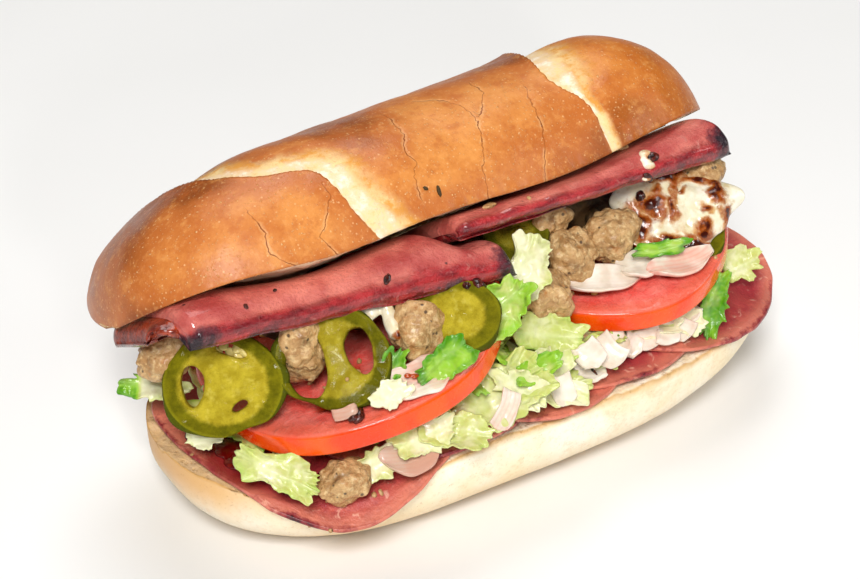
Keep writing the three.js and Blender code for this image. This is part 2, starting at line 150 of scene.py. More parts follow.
def raise_surface(tree, shader, height, depth, strength=1.0):
    """Bumps of the given depth in millimetres."""
    bump = add_node(tree, "Bump", {"Height": height, "Distance": depth * MM, "Strength": strength})
    fill(shader, {"Normal": bump.outputs["Normal"]})


table_look, tree, shader = new_material("table_top", 0.6)
fill(shader, {"Base Color": tint(tree, noise(tree, 90, 2), "#ecebe8", "#f1f0ee")})
bpy.ops.mesh.primitive_plane_add(size=6, location=(0, 0, -0.0002))
table_top = bpy.context.active_object
table_top.name = "table_top"
table_top.data.materials.append(table_look)

world = bpy.data.worlds.new("soft_room")
bpy.context.scene.world = world
world.use_nodes = True
fill(world.node_tree.nodes["Background"], {"Color": (1, 1, 1, 1), "Strength": 0.055})
bpy.context.scene.view_settings.view_transform = "Standard"


def add_lamp(name, at, size, power):
    """A square soft lamp that looks at the middle of the sandwich."""
    lamp = bpy.data.lights.new(name, "AREA")
    lamp.size = size
    lamp.energy = power
    holder = bpy.data.objects.new(name, lamp)
    holder.location = at
    holder.rotation_euler = (Vector((0, 0, 0.035)) - Vector(at)).to_track_quat("-Z", "Y").to_euler()
    bpy.context.collection.objects.link(holder)


add_lamp("front_lamp", (-0.45, -0.60, 0.80), 0.3, 10.2)
add_lamp("back_lamp", (0.10, 0.35, 0.85), 0.5, 4.2)
add_lamp("right_lamp", (0.75, -0.35, 0.45), 0.3, 1.5)
add_lamp("low_lamp", (-0.25, -0.75, 0.36), 0.07, 1.3)

AZIMUTH, ELEVATION = math.radians(-32), math.radians(33)
LOOKED_AT, CAMERA_DISTANCE = Vector((-8.7, 1.1, 35)) * MM, 0.465
away = Vector(
    (
        math.sin(AZIMUTH) * math.cos(ELEVATION),
        -math.cos(AZIMUTH) * math.cos(ELEVATION),
        math.sin(ELEVATION),
    )
)
camera = bpy.data.objects.new("camera", bpy.data.cameras.new("camera"))
camera.data.lens = 92
camera.data.sensor_width = 36
camera.data.clip_start = 0.02
camera.location = LOOKED_AT + away * CAMERA_DISTANCE
camera.rotation_euler = away.to_track_quat("Z", "Y").to_euler()
bpy.context.collection.objects.link(camera)
bpy.context.scene.camera = camera

# ---------------------------------------------------------------------------------------------
# Lower half of the roll.
# White wheat bread, baked on a tray: a flat floured base, a thin pale crust round the side, and
# the open crumb of the cut on top.

LOAF_HALF_LENGTH, LOAF_HALF_WIDTH, LOAF_END, CUT_HEIGHT = 73.5, 34.0, 52, 20.0


def xyz(x, y, z):
    """Points from their three parts, each a number or an array."""
    return np.stack(np.broadcast_arrays(x, y, z), -1).astype(float)


def ramp(value, low, high):
    """0 below low and 1 above high, smooth between."""
    t = np.clip((value - low) / (high - low), 0, 1)
    return t * t * (3 - 2 * t)


def bell(value, middle, spread):
    """1 at the middle, falling to about a third at one spread away."""
    return np.exp(-(((value - middle) / spread) ** 2))


def scatter_value(cell, seed):
    """A fixed value from -1 to 1 for each whole-numbered cell."""
    mixed = cell[..., 0] * 73856093 ^ cell[..., 1] * 19349663 ^ cell[..., 2] * 83492791 ^ seed * 15485863
    mixed = (mixed ^ (mixed >> 13)) * 1274126177 & 0x7FFFFFFF
    mixed = (mixed ^ (mixed >> 15)) * 668265263 & 0x7FFFFFFF
    return mixed / 0x3FFFFFFF - 1


def bumps(points, size, seed, layers=1):
    """Smooth random rises between about -1 and 1, size millimetres across."""
    total = np.zeros(points.shape[:-1])
    for layer in range(layers):
        p = points / size * 2**layer + seed * 7.31
        base = np.floor(p).astype(np.int64)
        part = p - base
        part = part * part * (3 - 2 * part)
        for corner in np.ndindex(2, 2, 2):
            share = np.prod(np.where(corner, part, 1 - part), axis=-1)
            total += share * scatter_value(base + corner, seed + layer) / 2**layer
    return total


def grains(points, size, seed):
    """How far each point is from the nearest of many scattered centres, 0 to about 1."""
    p = points / size
    base = np.floor(p).astype(np.int64)
    nearest = np.full(points.shape[:-1], 9.0)
    for step in np.ndindex(3, 3, 3):
        cell = base + step - 1
        centre = cell + 0.5 + 0.42 * np.stack([scatter_value(cell, seed + k) for k in range(3)], -1)
        nearest = np.minimum(nearest, np.linalg.norm(p - centre, axis=-1))
    return nearest


def skin_faces(rows, columns, round_columns=True):
    """Four-cornered faces over rows of points; the columns may close on themselves."""
    across = columns if round_columns else columns - 1
    r, c = np.meshgrid(np.arange(rows - 1), np.arange(across), indexing="ij")
    nxt = (c + 1) % columns
    return np.stack(
        [r * columns + c, r * columns + nxt, (r + 1) * columns + nxt, (r + 1) * columns + c], -1
    ).reshape(-1, 4)


def closed_skin(rings):
    """Points and faces of a skin over closed rings, with a middle point closing each end."""
    rows, columns = rings.shape[:2]
    points = np.concatenate([rings.reshape(-1, 3), rings[:1].mean(1), rings[-1:].mean(1)])
    faces = skin_faces(rows, columns).tolist()
    k = np.arange(columns)
    nxt = (k + 1) % columns
    first, last = rows * columns, rows * columns + 1
    start = (rows - 1) * columns
    faces += np.stack([np.full(columns, first), nxt, k], -1).tolist()
    faces += np.stack([np.full(columns, last), start + k, start + nxt], -1).tolist()
    return points, faces


def over_rings(values, rings, end=0.0):
    """One shape's list of values for closed_skin: one for each point of the rings and of its ends."""
    return [np.append(np.broadcast_to(values, rings.shape[:2]).ravel(), [end, end])]


def closed_sheet(upper, lower):
    """Points and faces of a thick sheet between two matching grids of points."""
    rows, columns = upper.shape[:2]
    points = np.concatenate([upper.reshape(-1, 3), lower.reshape(-1, 3)])
    layer = rows * columns
    top = skin_faces(rows, columns, False)
    faces = top.tolist() + (top[:, ::-1] + layer).tolist()
    k = np.arange(layer).reshape(rows, columns)
    rim = np.concatenate([k[:-1, 0], k[-1, :-1], k[:0:-1, -1], k[0, :0:-1]])
    nxt = np.roll(rim, -1)
    faces += np.stack([rim, nxt, nxt + layer, rim + layer], -1).tolist()
    return points, faces


def turned_out(points, faces):
    """The faces, all turned over if they enclose less than nothing."""
    volume = 0.0
    for count in (3, 4):
        some = np.array([f for f in faces if len(f) == count])
        if len(some):
            for k in range(1, count - 1):
                a, b, c = points[some[:, 0]], points[some[:, k]], points[some[:, k + 1]]
                volume += np.einsum("ij,ij->i", a, np.cross(b, c)).sum()
    return faces if volume > 0 else [f[::-1] for f in faces]


def add_piece(name, shapes, look, nodes=(), values=None):
    """One piece from one or more (points, faces) shapes in millimetres, standing for CAD nodes.

    values maps a name to one number or list of numbers per shape, which the mesh then carries.
    """
    points, faces, start = [], [], 0
    for some_points, some_faces in shapes:
        points.append(some_points)
        faces += [[k + start for k in f] for f in turned_out(some_points, some_faces)]
        start += len(some_points)
    mesh = bpy.data.meshes.new(name)
    mesh.from_pydata((np.concatenate(points) * MM).tolist(), [], faces)
    for key, lists in (values or {}).items():
        full = [np.broadcast_to(v, len(p)) for v, p in zip(lists, points)]
        mesh.attributes.new(key, "FLOAT", "POINT").data.foreach_set("value", np.concatenate(full).astype("f"))
    mesh.shade_smooth()
    mesh.materials.append(look)
    piece = bpy.data.objects.new(name, mesh)
    bpy.context.collection.objects.link(piece)
    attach(piece, "root")
    if nodes:
        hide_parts(*nodes)
    return piece


def add_numbered(name, node, k, shape, look, values):
    """The piece that stands for number k + 1 of a kind of CAD node."""
    add_piece(f"{name}_{k + 1}", [shape], look, [f"{node}_{k + 1}"], values)


def group_of(name, wanted, given):
    """A shader node group with the wanted inputs {name: value} and given outputs."""
    group = bpy.data.node_groups.new(name, "ShaderNodeTree")
    for key, value in wanted.items():
        kind = "NodeSocketColor" if isinstance(value, tuple) else "NodeSocketFloat"
        group.interface.new_socket(key, in_out="INPUT", socket_type=kind).default_value = value
    for key in given:
        group.interface.new_socket(key, in_out="OUTPUT", socket_type="NodeSocketFloat")
    return group, group.nodes.new("NodeGroupInput"), group.nodes.new("NodeGroupOutput")


def use_group(tree, group, **inputs):
    """The outputs of a group placed in a material with its own values."""
    node = tree.nodes.new("ShaderNodeGroup")
    node.node_tree = group
    fill(node, inputs)
    return node.outputs


# Baked skin: broad mottling, and fine blisters that stand a little proud.
baked_skin, taken, handed = group_of(
    "baked_skin", {"Broad": 60.0, "Fine": 900.0}, ["Mottle", "Blister", "Height"]
)
broad = cloud(baked_skin, taken.outputs["Broad"], 5.0)
fine = cloud(baked_skin, taken.outputs["Fine"], 4.0, 0.65)
cell = add_node(
    baked_skin, "TexVoronoi", {"Vector": place(baked_skin), "Scale": taken.outputs["Fine"]}, feature="F1"
).outputs["Distance"]
blister = times(baked_skin, span(baked_skin, cell, 0.42, 0.1), span(baked_skin, fine, 0.52, 0.66))
height = plus(baked_skin, times(baked_skin, fine, 0.5), blister)
fill(handed, {"Mottle": broad, "Blister": blister, "Height": height})

# Open crumb: round holes of two sizes in soft bread.
open_crumb, taken, handed = group_of("open_crumb", {"Holes": 420.0}, ["Hole", "Height"])
warped = add_node(
    open_crumb, "TexVoronoi", {"Vector": place(open_crumb), "Scale": taken.outputs["Holes"]}, feature="F1"
).outputs["Distance"]
small = cloud(open_crumb, times(open_crumb, taken.outputs["Holes"], 3.0), 4.0)
hole = times(open_crumb, span(open_crumb, warped, 0.5, 0.15), span(open_crumb, small, 0.4, 0.6))
fill(handed, {"Hole": hole, "Height": sums(open_crumb, "SUBTRACT", small, hole)})


def taper(x, half_length, cap):
    """How much of its full size the roll keeps where its last cap millimetres round off."""
    t = np.clip((np.abs(x) - half_length + cap) / cap, 0, 1)
    return (1 - t**2.2) ** (1 / 2.2)


def signed_power(value, exponent):
    return np.sign(value) * np.abs(value) ** exponent


def cut_height(x, y):
    """The lower cut dips where the filling presses on its front edge."""
    return CUT_HEIGHT - 6 * ramp(-y, 6, 32) * bell(x, -50, 20)


def loaf_half_width(x):
    return LOAF_HALF_WIDTH * taper(x, LOAF_HALF_LENGTH, LOAF_END)


turn = np.linspace(0, np.pi, 330)
x = (-LOAF_HALF_LENGTH * 0.9992 * np.cos(turn))[:, None]
lift = np.where(
    x > 0, taper(x, LOAF_HALF_LENGTH, 72) ** 1.5, taper(x, LOAF_HALF_LENGTH, 38) ** 0.75
)
angle = np.linspace(0, np.pi, 120)[None, :]
squareness = 2 / 3.4
side_y = -loaf_half_width(x) * signed_power(np.cos(angle), squareness)
side_z = CUT_HEIGHT - (CUT_HEIGHT + 1.2) * lift * signed_power(np.sin(angle), squareness)
top_y = np.linspace(1, -1, 42)[None, 1:-1] * loaf_half_width(x)
y = np.concatenate([side_y, top_y], 1)
x = np.broadcast_to(x, y.shape)
z = np.concatenate([side_z, np.full_like(top_y, 99)], 1)
z = np.minimum(z, cut_height(x, y))
on_cut = (z > cut_height(x, y) - 0.01).astype(float)
rings = xyz(x, y, z)
swell = 0.45 * bumps(rings, 19, 3) + 0.16 * bumps(rings, 6, 5, 2)
swell = np.where(z < 0.6, 0, swell)
rings[..., 1] += swell * np.sign(y) * np.minimum(1, np.abs(y) / 20)
rings[..., 2] += np.where(on_cut > 0, 0.5 * bumps(rings, 3.2, 8, 2) - 0.25, 0.15 * swell * np.minimum(1, z))
rings[..., 2] = np.maximum(rings[..., 2], 0)
edge_depth = np.where(on_cut > 0, loaf_half_width(x) - np.abs(y), 0)

loaf_look, tree, shader = new_material("lower_crust", 0.5)
skin = use_group(tree, baked_skin, Broad=70.0, Fine=1500.0)
crumb = use_group(tree, open_crumb, Holes=520.0)
up = add_node(tree, "SeparateXYZ", {"Vector": place(tree)}).outputs
pale = tint(tree, span(tree, skin["Mottle"], 0.35, 0.68), "#fae8c2", "#fff8e4")
pale = tint(tree, span(tree, up["Z"], 0.012, 0.001, 0.0, 0.5), pale, "#e6b878")
left_end = times(tree, span(tree, up["X"], -0.052, -0.074), span(tree, up["Z"], 0.006, 0.018))
pale = tint(tree, times(tree, left_end, 0.85), pale, "#dca050")
tan = span(tree, noise(tree, 8, 6, 0.72, 0.31), 0.53, 0.68, 0.0, 0.3)
pale = tint(tree, tan, pale, "#dfae6a")
pale = tint(tree, times(tree, skin["Blister"], 0.3), pale, "#c98f4f")
pale = patches(tree, (1.3, 5, 0.7, 0.2), 0.5, 0.7, pale, "#deb070", 0.25)
inside = patches(tree, (3, 4), 0.3, 0.7, "#f6e2b8", "#fff6de")
# The crumb is darkened in its holes: painted shade in the pores.
inside = tint(tree, times(tree, crumb["Hole"], 0.5), inside, "#cc9c62")
rim = span(tree, drawn(tree, "cut_depth"), 1.0, 0.2)
inside = tint(tree, times(tree, rim, 0.8), inside, "#dba962")
inside = tint(tree, span(tree, up["X"], -0.05, -0.068, 0.0, 0.7), inside, "#cf9a52")
cut = drawn(tree, "on_cut")
fill(shader, {
    "Base Color": tint(tree, cut, pale, inside),
    "Roughness": span(tree, cut, 0, 1, 0.46, 0.85),
})
both = add_node(
    tree, "Mix", {0: cut, 2: times(tree, skin["Height"], 0.45), 3: crumb["Height"]}
).outputs[0]
raise_surface(tree, shader, both, 0.5, 0.6)
add_piece(
    "lower_roll",
    [closed_skin(rings)],
    loaf_look,
    ["bread_bottom"],
    {"on_cut": over_rings(on_cut, rings), "cut_depth": over_rings(edge_depth, rings)},
)

# ---------------------------------------------------------------------------------------------
# Salami.
# Five thin round slices of cured pork, shingled along the lower half, each over the one to its
# left, pressed on by the filling and hanging a little over the edge of the roll.

SALAMI_THICKNESS, SALAMI_STEP = 0.9, 1.6
# Each: middle and radius.
SALAMI = [(-40, -3, 33.5), (-19, -1.5, 33), (3, -3, 33), (22, -1, 33), (43, 0.5, 33)]


def layers(x, y, slices):
    """How many of the slices lie under a place, easing off around their edges."""
    total = np.zeros(np.shape(x))
    for cx, cy, radius in slices:
        total = total + 1 - ramp(np.hypot(x - cx, y - cy) - radius, 4, 14)
    return total


def rest_height(x, y, order):
    """Where the underside of a slice lies, or the top of the stack for an order past the last."""
    edge = loaf_half_width(np.clip(x, -68, 68))
    over = np.maximum(0, np.abs(y) - edge - 0.8)
    pressed = ramp(np.abs(y) - edge, -9, -2)
    stack = (SALAMI_STEP - 0.55 * pressed) * layers(x, y, SALAMI[:order])
    return cut_height(x, y) + 0.8 - 0.5 * pressed + stack - 0.5 * over


def lone_dots(tree, scale, part, rarity, outer, inner):
    """Small round dots, one in each of a few of many scattered cells."""
    cells = add_node(tree, "TexVoronoi", {"Vector": place(tree), "Scale": scale}, feature="F1")
    lot = add_node(tree, "SeparateColor", {"Color": cells.outputs["Color"]}).outputs[part]
    dot = span(tree, cells.outputs["Distance"], outer, inner)
    return times(tree, dot, sums(tree, "GREATER_THAN", lot, rarity))


# Cured meat: a fine grain, soft pale marks of fat, and a few dark grains of pepper.
cured_meat, taken, handed = group_of(
    "cured_meat", {"Grain": 1400.0, "Fat": 260.0}, ["Grain", "Fat", "Pepper", "Height"]
)
grain = cloud(cured_meat, taken.outputs["Grain"], 4.0, 0.6)
fleck = cloud(cured_meat, taken.outputs["Fat"], 3.0, distortion=1.2)
pepper = lone_dots(cured_meat, 230.0, 0, 0.86, 0.11, 0.05)
fat = span(cured_meat, fleck, 0.6, 0.72)
height = plus(cured_meat, grain, times(cured_meat, fleck, 1.5))
fill(handed, {"Grain": grain, "Fat": fat, "Pepper": pepper, "Height": height})

# Scorching: ragged dark patches where a value on the mesh says that the grill reached.
scorching, taken, handed = group_of("scorching", {"Amount": 0.0, "Size": 300.0}, ["Brown", "Black"])
ragged = cloud(scorching, taken.outputs["Size"], 6.0, 0.65)
ragged = times(scorching, plus(scorching, ragged, -0.5), 1.7)
reach = plus(scorching, taken.outputs["Amount"], ragged)
fill(handed, {"Brown": span(scorching, reach, 0.25, 0.75), "Black": span(scorching, reach, 0.68, 1.0)})

salami_look, tree, shader = new_material("salami", 0.36)
meat = use_group(tree, cured_meat, Grain=1500.0, Fat=330.0)
edge = drawn(tree, "edge")
burn = use_group(tree, scorching, Amount=drawn(tree, "burn"), Size=420.0)
colour = patches(tree, (12, 4), 0.35, 0.66, "#a93439", "#d26454")
colour = patches(tree, (7, 5, 0.65, 0.4), 0.46, 0.6, colour, "#98242e", 0.85)
colour = tint(tree, span(tree, meat["Grain"], 0.35, 0.75, 0.0, 0.3), colour, "#b84a4c")
colour = tint(tree, times(tree, meat["Fat"], 0.6), colour, "#f4c4ac")
colour = tint(tree, span(tree, edge, 0.86, 0.98, 0.0, 0.45), colour, "#ec9878")
# Darker red over the inner part of each slice, where it lies under the filling: painted shade.
colour = tint(tree, span(tree, edge, 0.97, 0.78, 0.0, 0.6), colour, "#962a32")
wet_middle = add_node(tree, "VectorMath", {0: place(tree), 1: (-0.0605, -0.013, 0.022)}, operation="DISTANCE")
soaked = plus(tree, wet_middle.outputs["Value"], times(tree, noise(tree, 4, 4), 0.006))
colour = tint(tree, span(tree, soaked, 0.0145, 0.0095, 0.0, 0.85), colour, "#780c10")
colour = tint(tree, burn["Brown"], colour, "#8c2a30")
colour = tint(tree, burn["Black"], colour, "#3c161c")
fill(shader, {
    "Base Color": colour,
    "Roughness": span(tree, meat["Grain"], 0.3, 0.7, 0.28, 0.46),
    "Coat Weight": 0.25,
    "Coat Roughness": 0.2,
})
raise_surface(tree, shader, meat["Height"], 0.3, 0.7)

share = np.concatenate([np.linspace(0.03, 0.9, 34), np.linspace(0.91, 0.992, 16)])
nose = np.linspace(0, np.pi, 7)
out = np.concatenate([share, 0.992 + 0.008 * np.sin(nose), share[::-1]])[:, None]
side = np.concatenate([np.ones(50), np.cos(nose), -np.ones(50)])[:, None]
phi = np.linspace(0, 2 * np.pi, 231)[None, :-1]
for order, (cx, cy, radius) in enumerate(SALAMI):
    round_trip = xyz(np.cos(phi), np.sin(phi), 0)
    wobble = 1 + 0.02 * bumps(round_trip * 9, 4, 30 + order, 3)
    if order == 0:
        wobble = wobble - 0.10 * bell(np.abs(phi - np.radians(196)), 0, 0.6)
    x = cx + radius * wobble * out * np.cos(phi)
    y = cy + radius * wobble * out * np.sin(phi)
    flat = xyz(x, y, 0)
    ruffle = 0.55 * bumps(flat, 9, 4) * ramp(out, 0.6, 1) + 0.12 * bumps(flat, 4, 50 + order)
    z = rest_height(x, y, order) + ruffle + SALAMI_THICKNESS * (side + 1) / 2
    if order == 0:
        doubled = ramp(phi, 2.8, 3.0) * ramp(-phi, -4.95, -4.7) * (side > 0)
        z = z + 0.7 * doubled * ramp(-out, -0.86 - 0.03 * np.sin(3 * phi), -0.835 - 0.03 * np.sin(3 * phi))
    rings = xyz(x, y, z)
    scorch = 0.64 * ramp(out, 0.94, 1) + np.zeros_like(phi)
    if order == 0:
        charred = bell(phi, np.radians(250), 0.12) + bell(phi, np.radians(228), 0.2)
        scorch = scorch + 0.55 * ramp(out, 0.93, 1) * charred
    scorch = scorch * (0.35 + 0.65 * ramp(bumps(rings, 9, 60 + order), -0.3, 0.5))
    values = {"edge": over_rings(out, rings), "burn": over_rings(scorch, rings)}
    add_numbered("salami_slice", "salami", order, closed_skin(rings), salami_look, values)

# ---------------------------------------------------------------------------------------------
# Tomato.
# Two thick round slices cut across a ripe tomato: thin glossy skin, a wall of firm flesh, and
# seed chambers filled with wet gel.

# Each: middle of the underside, the two slopes of its axis, radius and thickness.
TOMATOES = [
    ((-30.5, -4.6, 30.6), (-0.228, 0.083), 32.4, 5.4),
    ((32.1, -2.4, 32.7), (-0.1, -0.05), 28.6, 5.2),
]
TOMATO_ROUNDING = 1.1


def leaning(slope_x, slope_y):
    """The turn that carries straight up to a line leaning by two slopes."""
    line = Vector((slope_x, slope_y, 1)).normalized()
    return np.array(Vector((0, 0, 1)).rotation_difference(line).to_matrix())


def turned(points, turn, at):
    """Points of a piece carried from its own frame to the sandwich's."""
    return points @ turn.T + np.array(at)


tomato_look, tree, shader = new_material("tomato", 0.2)
skin_share = drawn(tree, "skin")
wet = drawn(tree, "gel")
flesh = patches(tree, (6, 5, 0.6), 0.3, 0.7, "#e84c44", "#f67e70")
streak = cloud(tree, 620.0, 5.0, 0.7, 0.6)
flesh = tint(tree, span(tree, streak, 0.52, 0.75, 0.0, 0.4), flesh, "#f8b0a0")
flesh = tint(tree, span(tree, drawn(tree, "wall"), 0.0, 1.0, 0.0, 0.7), flesh, "#ea6a4e")
flesh = tint(tree, wet, flesh, "#c8380f")
red = patches(tree, (12, 3), 0.35, 0.65, "#ec3c02", "#f65806")
fill(shader, {
    "Base Color": tint(tree, skin_share, flesh, red),
    "Roughness": span(tree, streak, 0.35, 0.65, 0.14, 0.34),
    "Subsurface Weight": 0.12,
    "Subsurface Radius": (0.003, 0.0008, 0.0005),
    "Coat Weight": 0.4,
    "Coat Roughness": 0.1,
})
rough_flesh = times(tree, streak, span(tree, skin_share, 0, 1, 1.0, 0.06))
raise_surface(tree, shader, rough_flesh, 0.5, 0.8)

seeds = []
for k, (at, slopes, radius, thickness) in enumerate(TOMATOES):
    upright = leaning(*slopes)
    inner = np.linspace(0.02, 0.93, 60)
    corner = np.linspace(0, np.pi / 2, 8)
    wide, high = radius - TOMATO_ROUNDING, thickness - TOMATO_ROUNDING
    round_out, round_in = TOMATO_ROUNDING * np.sin(corner), TOMATO_ROUNDING * np.cos(corner)
    reach = np.concatenate([inner * radius, wide + round_out, wide + round_in, inner[::-1] * radius])[:, None]
    level = [np.full(60, thickness), high + round_in, TOMATO_ROUNDING - round_out, np.zeros(60)]
    level = np.concatenate(level)[:, None]
    phi = np.linspace(0, 2 * np.pi, 301)[None, :-1]
    bulge = 1 + 0.018 * np.cos(5 * phi + 2 * k) + 0.012 * np.cos(3 * phi - 2 * k)
    near = reach / radius
    chambers = np.cos(phi * 6 + 1.2 * k + 0.5 * np.sin(2 * phi))
    hollow = ramp(chambers, 0.1, 0.6) * ramp(near, 0.3, 0.42) * (1 - ramp(near, 0.72, 0.8))
    x, y = reach * bulge * np.cos(phi), reach * bulge * np.sin(phi)
    local = xyz(x, y, level)
    up_side = (level > thickness - 0.4).astype(float)
    swell = 0.22 * bumps(local, 3.4, 70 + k, 2) * ramp(1 - near, 0.0, 0.12) * up_side
    local[..., 2] += swell - 0.9 * hollow * up_side
    from_middle = np.abs(level - thickness / 2)
    rim_share = ramp(near, 0.985, 0.996) * ramp(-from_middle, -thickness / 2, -thickness / 2 + 0.5)
    values = {
        "skin": over_rings(rim_share, local),
        "gel": over_rings(hollow * up_side, local),
        "wall": over_rings(ramp(near, 0.8, 0.97), local),
    }
    slice_shape = closed_skin(turned(local, upright, at))
    add_numbered("tomato_slice", "tomato", k, slice_shape, tomato_look, values)
    rng = np.random.default_rng(11 + k)
    for _ in range(90):
        angle = rng.uniform(0, 2 * np.pi)
        if math.cos(angle * 6 + 1.2 * k + 0.5 * math.sin(2 * angle)) > 0.45:
            out_by = rng.uniform(0.4, 0.74) * radius
            spot = np.array([out_by * math.cos(angle), out_by * math.sin(angle), thickness - 0.5])
            seeds.append((turned(spot, upright, at), upright, angle + rng.uniform(-0.5, 0.5)))


def lump_of(detail):
    """The corners and faces of an evenly divided ball of size 1."""
    ball = bmesh.new()
    bmesh.ops.create_icosphere(ball, subdivisions=detail, radius=1.0)
    points = np.array([v.co[:] for v in ball.verts])
    faces = [[v.index for v in f.verts] for f in ball.faces]
    ball.free()
    return points, faces


def spun(angle):
    """A turn about the upright."""
    cos, sin = math.cos(angle), math.sin(angle)
    return np.array([[cos, -sin, 0], [sin, cos, 0], [0, 0, 1]])


seed_look, tree, shader = new_material("tomato_seed", 0.25)
fill(shader, {
    "Base Color": tint(tree, noise(tree, 0.8, 3), "#d9a04a", "#ecd08c"),
    "Coat Weight": 0.5,
})
small_ball = lump_of(2)
shapes = []
for at, upright, angle in seeds:
    grain_points = small_ball[0] * (1.5, 0.9, 0.45) @ spun(angle).T
    shapes.append((turned(grain_points, upright, at), small_ball[1]))
add_piece("tomato_seeds", shapes, seed_look)

# ---------------------------------------------------------------------------------------------
# Shredded lettuce.
# A bed of iceberg lettuce cut into ribbons, between the salami and the tomato. The outer ribbons
# are modelled one by one over a smaller packed core.


def under_tomato(x, y):
    """The plane just under the tomato nearest to a place."""
    levels = [at[2] - s[0] * (x - at[0]) - s[1] * (y - at[1]) - 0.4 for at, s, _, _ in TOMATOES]
    share = ramp(x, -10, 3)
    return levels[0] * (1 - share) + levels[1] * share


def bed_height(x, y, share):
    """From the top of the salami, share 0, to the underside of the tomato, share 1."""
    low = rest_height(x, y, 5) + 0.4
    high = np.maximum(low + 1.2, under_tomato(x, y) - 0.9)
    return low + share * (high - low)


lettuce_look, tree, shader = new_material("lettuce", 0.3)
patch = span(tree, noise(tree, 5, 3, 0.6), 0.3, 0.7, -0.14, 0.14)
shade = plus(tree, drawn(tree, "green"), patch)
leaf_colour = tint(tree, span(tree, shade, 0.05, 0.4), "#e8e4be", "#c4cc72")
leaf_colour = tint(tree, span(tree, shade, 0.4, 0.75), leaf_colour, "#93c232")
leaf_colour = tint(tree, span(tree, shade, 0.75, 1.05), leaf_colour, "#4c900c")
net = add_node(
    tree, "TexVoronoi", {"Vector": place(tree), "Scale": 330.0}, feature="DISTANCE_TO_EDGE"
).outputs[0]
veins = sums(tree, "MAXIMUM", drawn(tree, "vein"), span(tree, net, 0.1, 0.0, 0.0, 0.5))
leaf_colour = tint(tree, times(tree, veins, span(tree, shade, 0.2, 0.8, 0.36, 0.1)), leaf_colour, "#ecf0c4")
worn = span(tree, noise(tree, 5, 2, 0.5, 0.2), 0.55, 0.75, 0.0, 0.3)
leaf_colour = tint(tree, worn, leaf_colour, "#d4c47c")
fill(shader, {
    "Base Color": leaf_colour,
    "Subsurface Weight": 0.1,
    "Subsurface Radius": (0.0012, 0.0016, 0.0006),
    "Coat Weight": 0.25,
    "Coat Roughness": 0.12,
})
quilted = sums(tree, "SUBTRACT", span(tree, net, 0.0, 0.35), times(tree, noise(tree, 1.0, 3), 0.4))
raise_surface(tree, shader, quilted, 0.35, 0.5)


def rolled(across, up, radius):
    """A distance across a sheet and a height over it, once the sheet is bent to a radius."""
    turn = across / radius
    return (radius - up) * np.sin(turn), radius - (radius - up) * np.cos(turn)


def leaf(length, width, thickness, curl, wave, seed, rows=60, columns=44):
    """A torn piece of leaf: ragged outline, quilted middle, frilled edge, bent both ways.

    Returns its shape and how near each point is to the frilled edge and to a vein.
    """
    u, v = np.meshgrid(np.linspace(-1, 1, rows), np.linspace(-1, 1, columns), indexing="ij")
    x, y = u * np.sqrt(1 - 0.35 * v * v), v * np.sqrt(1 - 0.35 * u * u)
    out = np.maximum(np.abs(u), np.abs(v))
    bearing = np.arctan2(y, x)
    round_trip = xyz(np.cos(bearing), np.sin(bearing), 0)
    torn = 0.34 * bumps(round_trip + seed, 0.75, seed) + 0.07 * bumps(round_trip, 0.3, seed + 3, 3)
    torn = torn - 0.34 * np.abs(bumps(round_trip + seed, 0.4, seed + 5, 2))
    reach = 1.12 + torn * out**2
    x, y = x * length / 2 * reach, y * width / 2 * reach
    flat = xyz(x, y, 0)
    frill = ramp(out, 0.5, 1)
    rib = bell(y + 0.8 * np.sin(x / 6 + seed), 0, 0.4 + 0.05 * (length / 2 - x))
    side_vein = bell(np.mod(x - 0.8 * np.abs(y) + 0.5 * bumps(flat, 4, seed), 4.8) - 2.4, 0, 0.3)
    vein = np.clip(rib + 0.5 * side_vein * ramp(-out, -0.95, -0.5), 0, 1)
    z = 0.7 * bumps(flat, 5.0, seed, 2) + 0.4 * np.abs(bumps(flat, 2.6, seed + 6))
    z = z + (0.4 + 0.5 * wave) * frill * bumps(round_trip * (length + width) / 7, 1, seed + 8, 2)
    half = thickness / 2 * (1 + 0.8 * rib) * (1 - 0.6 * ramp(out, 0.85, 1))
    sides = []
    for level in (z + half + 0.1 * vein, z - half):
        bent_y, lifted = rolled(y, level, width * width / (8 * curl) + 1.5)
        bent_x, lifted = rolled(x + 0.25 * lifted * (seed % 3 - 1), lifted, length * length / (9 * wave) + 3)
        sides.append(xyz(bent_x, bent_y, lifted - 0.4 * curl))
    points, faces = closed_sheet(*sides)
    return points, faces, np.tile(frill.ravel(), 2), np.tile(vein.ravel(), 2)


def any_turn(rng, lean=1.0):
    """A turn that tips a flat piece by up to about lean radians and spins it freely."""
    tip = Vector((rng.normal(0, 0.4 * lean), rng.normal(0, 0.4 * lean), 1)).normalized()
    return np.array(Vector((0, 0, 1)).rotation_difference(tip).to_matrix()) @ spun(rng.uniform(0, 2 * np.pi))


